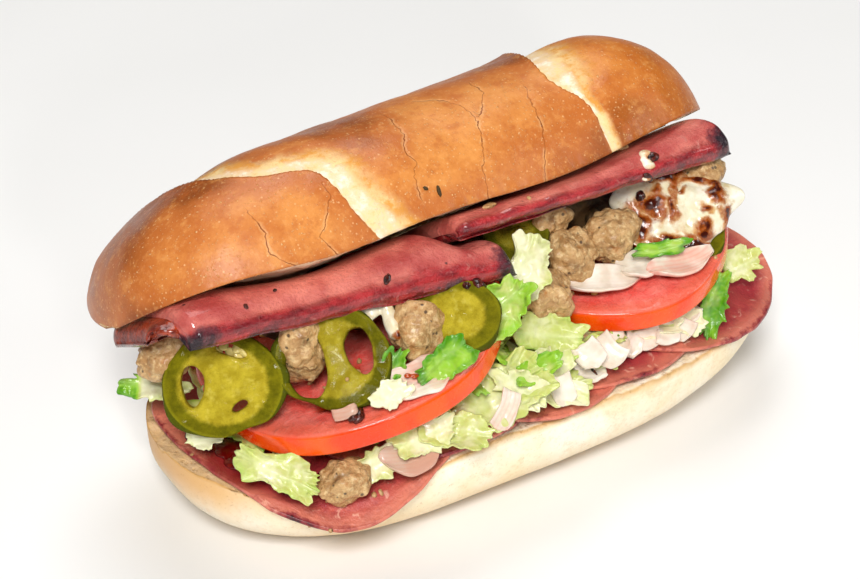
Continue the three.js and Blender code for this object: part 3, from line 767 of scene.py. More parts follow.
RIBBONS = 250
RIBBON_GREENS, RIBBON_SHARES = [0.1, 0.22, 0.35, 0.5, 0.66], [0.3, 0.27, 0.28, 0.12, 0.03]
BED_X, BED_Y, BED_HALF_LENGTH, BED_HALF_WIDTH = -1, -0.5, 63, 25.5
rng = np.random.default_rng(5)
shapes, greens, veins = [], [], []
for k in range(RIBBONS):
    angle = rng.uniform(0, 2 * np.pi)
    if k % 2:
        angle = rng.uniform(np.pi, 2 * np.pi)
    out_by = rng.uniform(0.78, 0.97)
    x = BED_X + BED_HALF_LENGTH * out_by * signed_power(math.cos(angle), 0.8)
    y = BED_Y + BED_HALF_WIDTH * out_by * signed_power(math.sin(angle), 0.8)
    share = rng.uniform(0.15, 0.9)
    z = bed_height(np.array(x), np.array(y), share)
    length, width = rng.uniform(6, 15), rng.uniform(2.4, 6)
    curl, wave = rng.uniform(0.2, 1.6), rng.uniform(0.1, 0.9)
    points, faces, frill, vein = leaf(length, width, 0.6, curl, wave, 200 + k, 14, 9)
    shapes.append((turned(points, any_turn(rng, 0.9), (x, y, float(z))), faces))
    greens.append(np.clip(rng.choice(RIBBON_GREENS, p=RIBBON_SHARES) + 0.2 * frill, 0, 1))
    veins.append(vein)

v = np.linspace(0, np.pi, 120)[:, None]
phi = np.linspace(0, 2 * np.pi, 61)[None, :-1]
x = BED_X - (BED_HALF_LENGTH - 2) * np.cos(v) + 0 * phi
spread = np.sin(v) ** 0.6 * (BED_HALF_WIDTH - 2)
y = BED_Y + spread * np.cos(phi)
share = 0.5 + 0.5 * signed_power(np.sin(phi), 0.7) + 0 * v
z = bed_height(x, y, np.clip(share, 0, 0.92))
core = xyz(x, y, z)
core[..., 2] += 0.5 * bumps(core, 3.5, 12, 2) * ramp(share, 0.3, 0.8)
shapes.append(closed_skin(core))
greens.append(0.3)
veins.append(0.0)
drawn_on = {"green": greens, "vein": veins}
add_piece("shredded_lettuce", shapes, lettuce_look, ["lettuce_bed"], drawn_on)

# ---------------------------------------------------------------------------------------------
# Pickled peppers.
# Rings cut across green peppers pickled in brine: a tough dark skin, an olive wall, yellow flesh,
# and open seed chambers. They lie loose on the tomato.

PEPPER_THICKNESS, PEPPER_ROUNDING = 4.2, 0.55
# How much each ring is darkened where it lies in the shade of the filling: painted shade.
PEPPER_DARKNESS = [0, 0.35, 0.15, 0.7, 0.35]
# Each: middle, bearing and rise it faces, size, and its chambers as (bearing, reach, length, breadth).
PEPPERS = [
    (
        (-64.2, -11.6, 38.9),
        (-30, 32),
        (24, 21.4),
        [(180, 5.9, 8.4, 5.2), (307, 5.2, 4.4, 2.2), (75, 6.9, 7.4, 2.8)],
    ),
    ((-44.4, -20.4, 42.8), (-34, 38), (23, 21), [(20, 5.4, 9.6, 6.2), (196, 5.3, 13.6, 8.6)]),
    ((-18.6, -24.6, 45.8), (-32, 50), (18, 16), []),
    ((6.4, -7.5, 48), (-24, 50), (15, 13), []),
    ((43.6, -15.4, 41.7), (-24, 46), (22, 19), []),
]


def facing(bearing, rise, spin=0.0):
    """The turn that carries straight up towards a compass bearing and a rise, in degrees."""
    first, second, third = (math.radians(a) for a in (bearing, 90 - rise, spin))
    cos, sin = math.cos(second), math.sin(second)
    tip = np.array([[1, 0, 0], [0, cos, -sin], [0, sin, cos]])
    return spun(first) @ tip @ spun(third)


def evened(rough, voxel, smoothing=2):
    """Points and faces of a rough object in millimetres, rebuilt with small even faces."""
    even = rough.modifiers.new("even", "REMESH")
    even.mode = "VOXEL"
    even.voxel_size = voxel
    soft = rough.modifiers.new("soft", "SMOOTH")
    soft.iterations = smoothing
    made = rough.evaluated_get(bpy.context.evaluated_depsgraph_get()).to_mesh()
    points = np.array([v.co[:] for v in made.vertices])
    faces = [list(p.vertices) for p in made.polygons]
    bpy.data.objects.remove(rough)
    return points, faces


def oval(x, y, width, height, bearing, count, seed):
    """Corners of a slightly uneven oval about a point, its width turned to a bearing."""
    angle = np.linspace(0, 2 * np.pi, count, endpoint=False)
    uneven = 1 + 0.05 * np.sin(2 * angle + seed) + 0.05 * np.sin(3 * angle + 2 * seed)
    uneven = uneven + 0.02 * np.sin(7 * angle)
    flat = np.stack([width / 2 * uneven * np.cos(angle), height / 2 * uneven * np.sin(angle), 0 * angle], -1)
    return flat @ spun(math.radians(bearing)).T + (x, y, 0)


def cut_ring(width, height, chambers, seed):
    """A slice of pepper lying flat, with rounded edges and its chambers open."""
    outline = bpy.data.curves.new("outline", "CURVE")
    outline.dimensions = "2D"
    outline.fill_mode = "BOTH"
    outline.extrude = PEPPER_THICKNESS / 2 - PEPPER_ROUNDING
    outline.bevel_depth = PEPPER_ROUNDING
    outline.bevel_resolution = 3
    edges = [oval(0, 0, width - 2 * PEPPER_ROUNDING, height - 2 * PEPPER_ROUNDING, 0, 60, seed)]
    for number, (bearing, reach, length, breadth) in enumerate(chambers):
        a = math.radians(bearing)
        x, y = reach * math.cos(a), reach * math.sin(a)
        edges.append(oval(x, y, length + 0.6, breadth + 0.6, bearing + 90, 24, seed + number))
    for corners in edges:
        line = outline.splines.new("POLY")
        line.points.add(len(corners) - 1)
        for point, corner in zip(line.points, corners):
            point.co = (*corner, 1)
        line.use_cyclic_u = True
    rough = bpy.data.objects.new("outline", outline)
    bpy.context.collection.objects.link(rough)
    bpy.context.view_layer.update()
    mesh = bpy.data.meshes.new_from_object(rough.evaluated_get(bpy.context.evaluated_depsgraph_get()))
    bpy.data.objects.remove(rough)
    rough = bpy.data.objects.new("rough", mesh)
    bpy.context.collection.objects.link(rough)
    bpy.context.view_layer.update()
    return evened(rough, 0.42)


pepper_look, tree, shader = new_material("pickled_pepper", 0.16)
depth = drawn(tree, "skin_depth")
mottle = span(tree, noise(tree, 3.0, 5, 0.65), 0.3, 0.7)
inner = tint(tree, mottle, "#a08c1a", "#c6b232")
inner = patches(tree, (1.8, 3, 0.5), 0.54, 0.72, inner, "#e0d060", 0.4)
wall = tint(tree, mottle, "#5a5604", "#7e760c")
line = span(tree, plus(tree, depth, times(tree, noise(tree, 1.5, 3), 0.9)), 2.7, 3.9)
colour = tint(tree, line, wall, inner)
colour = tint(tree, span(tree, depth, 1.0, 0.4, 0.0, 0.6), colour, "#8a8414")
colour = tint(tree, span(tree, depth, 0.35, 0.1, 0.0, 0.8), colour, "#3e460a")
# Each ring darkened by its own amount: painted shade.
colour = tint(tree, times(tree, drawn(tree, "dark"), 0.75), colour, "#3a3c06")
fill(shader, {
    "Base Color": colour,
    "Roughness": 0.6,
    "Specular IOR Level": 0.05,
    "Coat Weight": span(tree, noise(tree, 1.5, 4, 0.7, 0.8), 0.56, 0.68, 0.02, 0.3),
    "Coat Roughness": 0.04,
})
raise_surface(tree, shader, plus(tree, noise(tree, 0.6, 3, 0.7), noise(tree, 3.4, 2)), 0.5, 1.0)

for k, (at, face, size, chambers) in enumerate(PEPPERS):
    points, faces = cut_ring(*size, chambers, k + 1)
    away_from_middle = np.hypot(points[:, 0] / size[0] * 2, points[:, 1] / size[1] * 2)
    skin_depth = (1 - away_from_middle) * min(size) / 2
    points[:, 2] += 0.16 * bumps(points, 2.6, 90 + k, 2) + 0.35 * bumps(points * (1, 1, 0), 11, 95 + k)
    points[:, :2] *= 1 + 0.012 * bumps(points, 5, 80 + k)[:, None]
    values = {"skin_depth": [skin_depth], "dark": [PEPPER_DARKNESS[k]]}
    ring_shape = (turned(points, facing(*face), at), faces)
    add_numbered("pepper_ring", "jalapeno", k, ring_shape, pepper_look, values)

pip_look, tree, shader = new_material("pepper_seed", 0.3)
fill(shader, {
    "Base Color": tint(tree, noise(tree, 0.9, 4), "#d9bf52", "#f3e7a6"),
    "Coat Weight": 0.4,
})
PIPS = [
    (0, [(0.2, 7.6), (1.6, 6.4), (2.9, 7.2), (3.9, 6.2), (-0.8, 6.6), (3.3, 5.6)]),
    (1, [(2.6, 6.8), (-2.2, 6.4)]),
]
shapes = []
rng = np.random.default_rng(21)
for ring, places in PIPS:
    at, face, _, _ = PEPPERS[ring]
    for x, y in places:
        pip = small_ball[0] * (1.3, 1.0, 0.35) @ any_turn(rng, 1.6).T + (x, y, rng.uniform(0.2, 1.4))
        shapes.append((turned(pip, facing(*face), at), small_ball[1]))
add_piece("pepper_seeds", shapes, pip_look)

# ---------------------------------------------------------------------------------------------
# Sausage.
# Crumbled lumps of cooked pork sausage: coarse grains of meat pressed together, specked with
# pepper, browned where they touched the pan.

# Each: middle and size.
LUMPS = [
    ((-71.5, -1, 42.5), (13, 11, 11.5)),
    ((-48.2, -14.8, 43.6), (11.5, 10, 17)),
    ((-26.2, -23.2, 44.6), (13.5, 12, 12.5)),
    ((-47.6, -29.6, 20.6), (13, 10.5, 10.5)),
    ((5.6, -20.1, 40.2), (13.5, 12, 12.5)),
    ((16.4, -14, 43.2), (13, 12, 13)),
    ((27, -14.2, 44.9), (14, 12, 12.5)),
    ((14.5, -7.6, 50), (11, 10, 10)),
    ((52.5, -10.6, 50), (13, 11, 11)),
    ((6.3, -24, 28), (9, 8, 7.5)),
]

sausage_look, tree, shader = new_material("sausage", 0.5)
meat = use_group(tree, cured_meat, Grain=1300.0, Fat=520.0)
colour = patches(tree, (3.4, 5, 0.65), 0.32, 0.68, "#a67a48", "#cfa670")
# Pale patches on the grains: painted highlights.
colour = patches(tree, (1.2, 3, 0.6), 0.48, 0.66, colour, "#e4c48e", 0.7)
colour = patches(tree, (2.2, 3, 0.6, 0.4), 0.58, 0.68, colour, "#b06a2c", 0.5)
# Darker in the pits between the grains: painted shade.
colour = tint(tree, span(tree, drawn(tree, "pit"), 0.6, 1.0, 0.0, 0.7), colour, "#6a4826")
speck = lone_dots(tree, 560.0, 1, 0.64, 0.26, 0.14)
colour = tint(tree, times(tree, speck, 0.8), colour, "#2b1f1a")
fill(shader, {
    "Base Color": colour,
    "Coat Weight": 0.3,
    "Coat Roughness": 0.25,
    "Roughness": span(tree, noise(tree, 1.4, 3), 0.35, 0.65, 0.3, 0.6),
})
raise_surface(tree, shader, meat["Height"], 0.45, 0.9)


def crumbled(size, seed, detail):
    """A lump of ground meat and how deep each point lies between its grains."""
    ball, faces = lump_of(detail)
    raw = ball * np.array(size) / 2
    swerve = np.stack([bumps(raw, 3.4, seed + k) for k in (11, 12, 13)], -1)
    gap = grains(raw + 0.9 * swerve + seed * 3.7, 3.4, seed)
    fine = grains(raw + 0.4 * swerve + seed, 1.3, seed + 5)
    radius = np.mean(size) / 2
    grow = 0.91 + 0.17 * bumps(ball * 1.3 + seed, 1, seed) + 0.07 * bumps(raw, 2.4, seed + 1, 3)
    grow = grow + (0.5 - gap) * 1.3 / radius + (0.5 - fine) * 0.4 / radius
    return raw * grow[:, None], faces, gap


for k, (at, size) in enumerate(LUMPS):
    points, faces, gap = crumbled(size, 120 + k, 5)
    lump = (points + at, faces)
    add_numbered("sausage_lump", "sausage", k, lump, sausage_look, {"pit": [gap]})

# ---------------------------------------------------------------------------------------------
# Chopped topping.
# Smaller crumbs of the same sausage and scraps of pepper, heaped in the shade between the tomato
# and the ham. Their colours are painted far darker than the sausage's, as painted shade.

TILT, YAW = math.radians(39), math.radians(6)
HINGE = np.array([-8, 35.2, 25])

topping_look, tree, shader = new_material("chopped_topping", 0.45)
# Base colours far darker than the sausage's own: painted shade.
colour = patches(tree, (5, 5, 0.65), 0.35, 0.65, "#4a3620", "#8a6a42")
colour = patches(tree, (9, 3, 0.5, 0.3), 0.55, 0.65, colour, "#5d6118")
# Darker still in the pits between the crumbs: painted shade.
colour = tint(tree, span(tree, drawn(tree, "pit"), 0.4, 0.85, 0.0, 0.8), colour, "#22170d")
fill(shader, {"Base Color": colour})
raise_surface(tree, shader, noise(tree, 1.2, 5, 0.7), 0.5, 0.9)

low = np.array(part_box("topping_core")[0]) / MM
high = np.array(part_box("topping_core")[1]) / MM
ball, faces = lump_of(5)
middle, half = (low + high) / 2, (high - low) / 2
ground = signed_power(ball, 0.8) * half * 0.86
gap = grains(ground, 4.2, 31)
ground = ground * (1 + 0.08 * bumps(ground, 6, 32)[:, None]) + ball * ((0.5 - gap) * 1.6)[:, None]
shapes, pits = [(ground + middle, faces)], [gap]
rng = np.random.default_rng(33)
scrap = lump_of(3)
for k in range(46):
    spot = rng.normal(size=3)
    spot = spot / np.linalg.norm(spot) * half * (0.9, 1.0, 0.8) + middle
    size = rng.uniform(3, 6, 3)
    raw = scrap[0] * size / 2
    gap = grains(raw + k, 1.8, 140 + k)
    raw = raw * (1 + 0.2 * bumps(raw, 2.4, 150 + k)[:, None] + 0.25 * (0.5 - gap)[:, None])
    shapes.append((raw @ any_turn(rng, 2).T + spot, scrap[1]))
    pits.append(gap)
add_piece("chopped_topping", shapes, topping_look, ["topping_core"], {"pit": pits})

# ---------------------------------------------------------------------------------------------
# Cheese.
# White melting cheese, grilled where it lay over a pepper ring: it blistered, browned in spots and
# ran down at its edge. A few strings of it set over a sausage lump.

CHEESE_HALF_LENGTH, CHEESE_HALF_WIDTH = 13.3, 10.3
# Browned spots on the patch, each: place, reach along and across, and strength.
BROWNED = [
    (-1.7, 8.2, 4.8, 2.4, 1.5),
    (5.4, 6.3, 4.8, 1.7, 1.3),
    (9.2, 3.4, 2.0, 3.2, 1.3),
    (-5.4, 0.8, 2.9, 3.6, 1.35),
    (-1.5, -0.4, 1.6, 2.2, 1.1),
    (-9, -3.8, 2.6, 3.8, 1.4),
    (-2.8, -8, 5.6, 2.0, 1.6),
    (3.4, -9.2, 4.4, 1.6, 1.5),
    (5.6, -6, 2.2, 1.7, 1.3),
    (7.0, -1.6, 2.2, 1.3, 1.1),
    (-4.2, 4.3, 1.6, 1.4, 1.1),
    (1.8, 3.4, 1.4, 1.1, 1.0),
    (10.8, -2, 1.5, 2.4, 1.1),
]

cheese_look, tree, shader = new_material("cheese", 0.22)
burn = use_group(tree, scorching, Amount=drawn(tree, "burn"), Size=440.0)
colour = patches(tree, (4.5, 4), 0.3, 0.7, "#e2d6b0", "#f4eedc")
colour = patches(tree, (2.4, 4, 0.6, 0.25), 0.52, 0.68, colour, "#c9ae74", 0.6)
halo = span(tree, plus(tree, drawn(tree, "burn"), noise(tree, 2.2, 5, 0.65, 0.3)), 0.62, 1.05, 0.0, 0.8)
colour = tint(tree, halo, colour, "#cc8630")
colour = tint(tree, burn["Brown"], colour, "#9c4a0e")
colour = tint(tree, burn["Black"], colour, "#401004")
fill(shader, {
    "Base Color": colour,
    "Subsurface Weight": 0.15,
    "Subsurface Radius": (0.002, 0.0015, 0.001),
    "Coat Weight": 0.45,
    "Coat Roughness": 0.12,
})
raise_surface(tree, shader, plus(tree, noise(tree, 2.0, 5, 0.6), burn["Brown"]), 0.3, 0.7)

reach = np.concatenate([np.linspace(0.02, 0.9, 55), np.linspace(0.91, 1.0, 12)])
out = np.concatenate([reach, reach[::-1]])[:, None]
upper = np.concatenate([np.ones(67), np.zeros(67)])[:, None]
phi = np.linspace(0, 2 * np.pi, 221)[None, :-1]
ragged = 1 + 0.10 * np.sin(3 * phi + 1.0) + 0.07 * np.sin(5 * phi + 0.4) + 0.05 * np.sin(9 * phi)
x, y = out * CHEESE_HALF_LENGTH * ragged * np.cos(phi), out * CHEESE_HALF_WIDTH * ragged * np.sin(phi)
flat = xyz(x, y, 0)
body = 1.9 * np.sqrt(np.clip(1 - out**4, 0, 1)) + 0 * phi
z = -1.4 * out**2 + 0.7 * bumps(flat, 4.5, 41, 2) + np.where(upper > 0, body, -body * 0.8)
burnt = np.zeros_like(x)
astray_x, astray_y = x + 1.5 * bumps(flat, 3.4, 47, 2), y + 1.5 * bumps(flat, 3.4, 48, 2)
for bx, by, rx, ry, amount in BROWNED:
    away_x, away_y = (astray_x - bx) / rx, (astray_y - by) / ry
    burnt = np.maximum(burnt, 0.84 * amount * np.exp(-(away_x**2) - away_y**2))
burnt = np.maximum(burnt, 0.55 * ramp(bumps(flat, 3.8, 49, 2), 0.3, 0.8))
burnt = np.maximum(burnt, 1.0 * ramp(out, 0.92, 1.0) * ramp(bumps(flat, 5, 43), -0.3, 0.3))
z = z + np.where(upper > 0, 0.5 * burnt + 0.5 * np.maximum(0, bumps(flat, 2.2, 44)), 0)
local = xyz(x, y, z)
add_piece(
    "grilled_cheese",
    [closed_skin(turned(local, facing(-24, 46), (42.2, -16, 47.7)))],
    cheese_look,
    ["cheese_1"],
    {"burn": over_rings(burnt, local)},
)


def melted(beads, voxel):
    """One flowing blob over many beads, each (place, radius, flatness), in millimetres."""
    joined = bmesh.new()
    for at, radius, flatness in beads:
        matrix = Matrix.Translation(at) @ Matrix.Diagonal((radius, radius, radius * flatness, 1))
        bmesh.ops.create_icosphere(joined, subdivisions=2, radius=1.0, matrix=matrix)
    mesh = bpy.data.meshes.new("beads")
    joined.to_mesh(mesh)
    joined.free()
    rough = bpy.data.objects.new("beads", mesh)
    bpy.context.collection.objects.link(rough)
    bpy.context.view_layer.update()
    return evened(rough, voxel, 4)


def strand(start, end, thick, thin, count, flatness=0.8, sway=0.3, seed=1):
    """Beads along a slightly swaying line."""
    beads = []
    for k in range(count):
        t = k / (count - 1)
        at = np.array(start) * (1 - t) + np.array(end) * t
        at = at + sway * np.array([math.sin(5 * t + seed), math.cos(4 * t + seed), math.sin(7 * t + seed)])
        beads.append((at.tolist(), thick + (thin - thick) * t, flatness))
    return beads


beads = strand((-0.9, 3.6, 0.4), (4.0, -2.7, 0.9), 1.2, 1.6, 12)
beads += strand((3.2, 3.2, 0.4), (4.3, -0.4, 0.6), 0.9, 0.9, 7, seed=3)
beads += strand((-1.2, 0.2, 0.3), (-3.0, -2.2, 0.1), 1.0, 0.7, 6, seed=5)
beads += strand((-5.6, 1.8, -0.2), (-2.2, 0.6, 0), 1.7, 2.0, 5, 0.5, seed=7)
points, faces = melted(beads, 0.3)
points[:, 2] += 0.15 * bumps(points, 1.6, 45)
x, y = points[:, 0], points[:, 1]
burnt = 0.8 * np.exp(-(((x - 4.6) / 1.3) ** 2) - ((y + 3.2) / 1.2) ** 2)
burnt = np.maximum(burnt, 0.5 * np.exp(-(((x + 1.0) / 1.2) ** 2) - ((y + 3.4) / 1.0) ** 2))
add_piece(
    "cheese_strings",
    [(turned(points, facing(-30, 50, -20), (-32.5, -19, 47.9)), faces)],
    cheese_look,
    ["cheese_2"],
    {"burn": [burnt]},
)

# ---------------------------------------------------------------------------------------------
# Ham.
# Grilled slices folded double and tucked under the upper half. Each fold swells into a glossy roll
# along its edge, and the corners that stuck out scorched.

CROWN_HALF_LENGTH, CROWN_HALF_WIDTH, CROWN_END, CROWN_HEIGHT = 74.0, 31.0, 36, 27.0
HAM_THICKNESS = 5.0
# Each: how deep it is tucked in, how far that side sags, the two ends of its folded edge, its
# thickness there, and how much and how far in the left end is scorched.
HAMS = [
    (-34, 6, (-69.5, -51, -6.5), (-1, -60.5, -17.5), HAM_THICKNESS, (1.0, 9)),
    (-34, 0, (-9.5, -59, -6), (60, -63, -12), HAM_THICKNESS, (0.45, 3)),
    (-30, 0, (-74, -46, -1), (-68.6, -49, -3.5), 3.0, (0.9, 3)),
]


def from_crown(points):
    """Points measured from the upper cut, carried to the sandwich's frame."""
    x, y, z = points[..., 0], points[..., 1], points[..., 2]
    back = y * math.cos(TILT) + z * math.sin(TILT)
    up = -y * math.sin(TILT) + z * math.cos(TILT)
    return np.stack([x, back, up], -1) @ spun(YAW).T + HINGE


def crown_rim(x, y):
    """The upper cut lifts and twists towards its left end, and sags at the front right of the middle."""
    front_edge = -CROWN_HALF_WIDTH * (1 + taper(x, CROWN_HALF_LENGTH, CROWN_END))
    lift = 3.3 * (1 - ramp(x, -70, -34)) - 0.4 * bell(x, -32, 12)
    twist = 0.2 * (1 - ramp(x, -70, -42)) * (y - front_edge)
    return lift * ramp(-y, 0, 20) + twist - 2.4 * bell(x, 20, 24) * ramp(-y, 40, 60)


ham_look, tree, shader = new_material("ham", 0.3)
meat = use_group(tree, cured_meat, Grain=1700.0, Fat=300.0)
fold = drawn(tree, "fold")
burn = use_group(tree, scorching, Amount=drawn(tree, "burn"), Size=340.0)
colour = patches(tree, (9, 4), 0.32, 0.68, "#b0423e", "#e08070")
colour = tint(tree, span(tree, meat["Grain"], 0.42, 0.75, 0.0, 0.3), colour, "#a44a48")
smear = noise(tree, 2.2, 5, 0.65, 0.1, 2.5)
roll = tint(tree, span(tree, smear, 0.35, 0.65), "#74101a", "#bc2e32")
roll_share = plus(tree, fold, times(tree, noise(tree, 3, 4, 0.55, 0, 2.0), 0.1))
colour = tint(tree, span(tree, roll_share, 0.89, 0.965), colour, roll)
colour = tint(tree, times(tree, meat["Fat"], 0.25), colour, "#e4a898")
colour = tint(tree, times(tree, meat["Pepper"], 0.9), colour, "#241418")
colour = tint(tree, burn["Brown"], colour, "#5c1c26")
colour = tint(tree, burn["Black"], colour, "#220f1a")
glaze = tint(tree, span(tree, smear, 0.4, 0.7), "#5a1206", "#b8400c")
colour = tint(tree, times(tree, drawn(tree, "glazed"), 0.9), colour, glaze)
fill(shader, {"Base Color": colour, "Roughness": span(tree, fold, 0.8, 0.92, 0.38, 0.2)})
gloss = times(tree, span(tree, fold, 0.7, 0.92, 0.35, 0.9), span(tree, burn["Black"], 0, 1, 1.0, 0.35))
fill(shader, {"Coat Weight": gloss, "Coat Roughness": 0.07})
blistered = times(tree, noise(tree, 1.0, 4, 0.65), span(tree, fold, 0.86, 0.95, 0.8, 3.4))
raise_surface(tree, shader, plus(tree, meat["Height"], blistered), 0.4, 0.8)

for k, (inner, tuck, left, right, thickness, (scorch, scorch_reach)) in enumerate(HAMS):
    rows = 220 if k < 2 else 50
    t = np.linspace(0, 1, rows)[:, None]
    s = np.concatenate([np.linspace(0, 0.7, 26), np.linspace(0.715, 1, 34)])
    s = np.concatenate([s, s[::-1]])[None, :]
    side = np.concatenate([np.ones(60), -np.ones(60)])[None, :]
    x = left[0] + (right[0] - left[0]) * t + 0 * s
    fold_y = left[1] + (right[1] - left[1]) * t
    fold_z = left[2] + (right[2] - left[2]) * t
    y = (1 - s) ** 2 * inner + 2 * s * (1 - s) * (fold_y - 1) + s * s * fold_y
    rest = crown_rim(x, y) - HAM_THICKNESS / 2 - 0.5 - tuck * ramp(x, -17, -7)
    z = (1 - s**4) * rest + s**4 * fold_z
    slope_y = (1 - s) * (fold_y - 1 - inner) + s
    slope_z = 2 * s**3 * (fold_z - rest)
    length = np.hypot(slope_y, slope_z)
    nose = np.sqrt(np.clip(1 - np.maximum(0, (s - 0.86) / 0.14) ** 2, 0.0, 1))
    near_end = np.minimum(x - left[0], right[0] - x)
    ends = np.sqrt(np.clip(1 - np.maximum(0, 1 - near_end / 2.2) ** 2, 0.05, 1))
    groove = 1 - 0.12 * bell(s, 0.84, 0.05) + 0.1 * bell(s, 0.93, 0.04)
    half = thickness / 2 * nose * ends * groove * side
    flat = xyz(x, s * 26, side * 4)
    wrinkle = 0.55 * bumps(flat * (0.7, 1, 1), 3.2, 170 + k, 2) * ramp(s, 0.84, 0.94)
    wrinkle = wrinkle + 0.45 * bumps(flat, 12, 175 + k)
    edge = 0.8 * bumps(xyz(x, 0, 0), 7, 180 + k, 2) * ramp(s, 0.6, 1)
    sag = edge + wrinkle * np.abs(nose)
    y = y + half * slope_z / length + 0.5 * edge
    z = z - half * slope_y / length - 0.45 * sag
    across = 0.8 * bumps(xyz(0, s * 20 + 0 * x, side * 2), 5, 185 + k) * (1 - ramp(near_end, 0, 8))
    x = x + across * np.where(x > (left[0] + right[0]) / 2, 1, -1)
    rings = xyz(x, y, z)
    around = np.where(side > 0, s, 2 - s)
    end_burn = 1.05 * (1 - ramp(right[0] - x, 0.5, 8)) * ramp(s, 0.55, 0.9)
    left_burn = scorch * (1 - ramp(x - left[0], 0.5, scorch_reach)) * ramp(s, 0.75, 0.95)
    # The whole underside past the fold's nose is darkened too, through the same value as the scorched
    # corners.
    under = 0.75 * ramp(around, 0.97, 1.08)
    blotches = 0.7 * bell(around, 1.0, 0.06) * ramp(bumps(flat, 7, 195 + k, 2), 0.0, 0.6)
    burnt = np.maximum(np.maximum(end_burn, left_burn), under * (0.55 + 0.45 * bumps(flat, 9, 190 + k)))
    burnt = np.maximum(burnt, blotches)
    values = {
        "fold": over_rings(around, rings),
        "burn": over_rings(burnt, rings, 0.5),
        "glazed": [float(k == 2)],
    }
    add_numbered("folded_ham", "ham", k, closed_skin(from_crown(rings)), ham_look, values)

# ---------------------------------------------------------------------------------------------
# Upper half of the roll.
# The same dough, baked golden brown. Two slashes opened in the oven: along each, one lip of crust
# stands up as an ear, and the dough beside it stayed pale. The crust has cracked in handling.

# The crust's mean radius, and lines on it as (place along the roll in mm, degrees round it), from
# the front edge up.
CROWN_ROUND = 33
EARS = [
    [(-27.2, 184), (-29.5, 175), (-30.8, 167), (-31.6, 157), (-32.3, 149), (-34.0, 143.5), (-38.2, 140),
     (-42.5, 137), (-45.8, 131), (-49.4, 123), (-51.6, 112), (-54, 98), (-57, 84), (-61, 70), (-65, 55)],
    [(31.8, 184), (31.8, 173), (32.4, 167), (32.0, 161), (31.1, 155), (29.2, 149), (28.3, 142), (28.8, 135),
     (30.6, 124), (32.6, 110), (35, 96), (39, 80), (43, 66), (46, 55)],
]
CRACKS = [
    [(-8.8, 120), (-8.9, 128), (-10.1, 141), (-13.1, 152), (-12.1, 159), (-14.5, 164), (-15.5, 173)],
    [(0.5, 120), (4.0, 127), (6.7, 136), (6.5, 148)],
    [(14.3, 122), (13.2, 134), (9.4, 143), (5.6, 152), (3.3, 162), (0.4, 172), (-1.3, 181)],
    [(22, 140), (19, 160), (16.8, 170), (13.2, 181)],
    [(-50.2, 152), (-49.7, 159), (-50.7, 174), (-46.7, 181)],
    [(-33.8, 153), (-34.2, 160), (-39.6, 173), (-38.2, 181)],
]


def beside(at, line):
    """How far points lie to the right of a drawn line, as it is walked; negative to its left."""
    gap, side = np.full(at.shape[:-1], 1e9), np.zeros(at.shape[:-1])
    for a, b in zip(line[:-1], line[1:]):
        run = b - a
        along = np.clip((at - a) @ run / (run @ run), 0, 1)
        off = at - a - along[..., None] * run
        here = np.hypot(off[..., 0], off[..., 1])
        cross = (run[0] * (at[..., 1] - a[1]) - run[1] * (at[..., 0] - a[0])) / np.hypot(*run)
        nearer = (here < gap - 1e-6) | ((np.abs(here - gap) <= 1e-6) & (np.abs(cross) > np.abs(side)))
        side = np.where(nearer, cross, side)
        gap = np.minimum(gap, here)
    return gap * np.where(side < 0, -1, 1)


def as_line(corners):
    """A drawn line in millimetres along and round the crust."""
    return np.array([(x, math.radians(degrees) * CROWN_ROUND) for x, degrees in corners])


turn = np.linspace(0, np.pi, 352)
x = 0.4996 * CROWN_HALF_LENGTH * (np.linspace(-1, 1, 352) - np.cos(turn))[:, None]
angle = np.concatenate([np.linspace(0, 95, 46)[:-1], np.linspace(95, 180, 132)])
angle = np.radians(angle)[None, :]
width = CROWN_HALF_WIDTH * taper(x, CROWN_HALF_LENGTH, CROWN_END)
height = CROWN_HEIGHT * np.where(
    x > 0, taper(x, CROWN_HALF_LENGTH, 34) ** 0.9, taper(x, CROWN_HALF_LENGTH, 42) ** 0.8
)
roundness = 2 / 2.3
y = width * signed_power(np.cos(angle), roundness) - CROWN_HALF_WIDTH
rise = np.abs(np.sin(angle)) ** roundness
rim = crown_rim(x, y)
z = rim + (np.maximum(height, rim + 0.2) - rim) * rise
at = np.stack(np.broadcast_arrays(x, angle * CROWN_ROUND), -1)
ears = [beside(at, as_line(line)) for line in EARS]
degrees = np.degrees(angle) + 0 * x
opening = [
    12.0 + 2.0 * ramp(-degrees, -170, -140),
    4.2 + 10.0 * ramp(-degrees, -158, -140),
]
relief = np.zeros_like(y)
for ear, wide in zip(ears, opening):
    lip = 0.9 * np.exp(-np.maximum(0, -ear) / 3.2)
    trough = -1.7 * (1 - ramp(ear, 0.5, wide + 4))
    step = ramp(ear, -0.3, 0.35)
    relief = relief + lip * (1 - step) + trough * step
relief = relief * ramp(rise, 0.05, 0.45) * width / CROWN_HALF_WIDTH
crack_gaps = np.stack([beside(at, as_line(line)) for line in CRACKS])
nearest = np.argmin(np.abs(crack_gaps), 0)
crack = np.take_along_axis(crack_gaps, nearest[None], 0)[0]
crack = crack + 0.6 * bumps(xyz(at[..., 0], at[..., 1], 0), 2.3, 44, 3)
relief = relief - 0.04 * np.exp(-((crack / 0.4) ** 2)) * ramp(rise, 0.02, 0.2)
skin_points = xyz(x, y, z)
swell = 0.45 * bumps(skin_points, 17, 7, 2) + 0.12 * bumps(skin_points, 4.5, 9, 2)
relief = relief + swell * ramp(rise, 0, 0.3)
out_y = np.cos(angle) * 0.9
out_z = np.sin(angle)
y = y + relief * out_y
z = z + relief * out_z
ragged = 0.35 * bumps(xyz(x, 0, 0), 2.6, 14, 3) * (1 - ramp(rise, 0, 0.12))
y = y - ragged * (angle > 1.6)
under_count = 34
share = np.linspace(0, 1, under_count + 2)[None, 1:-1]
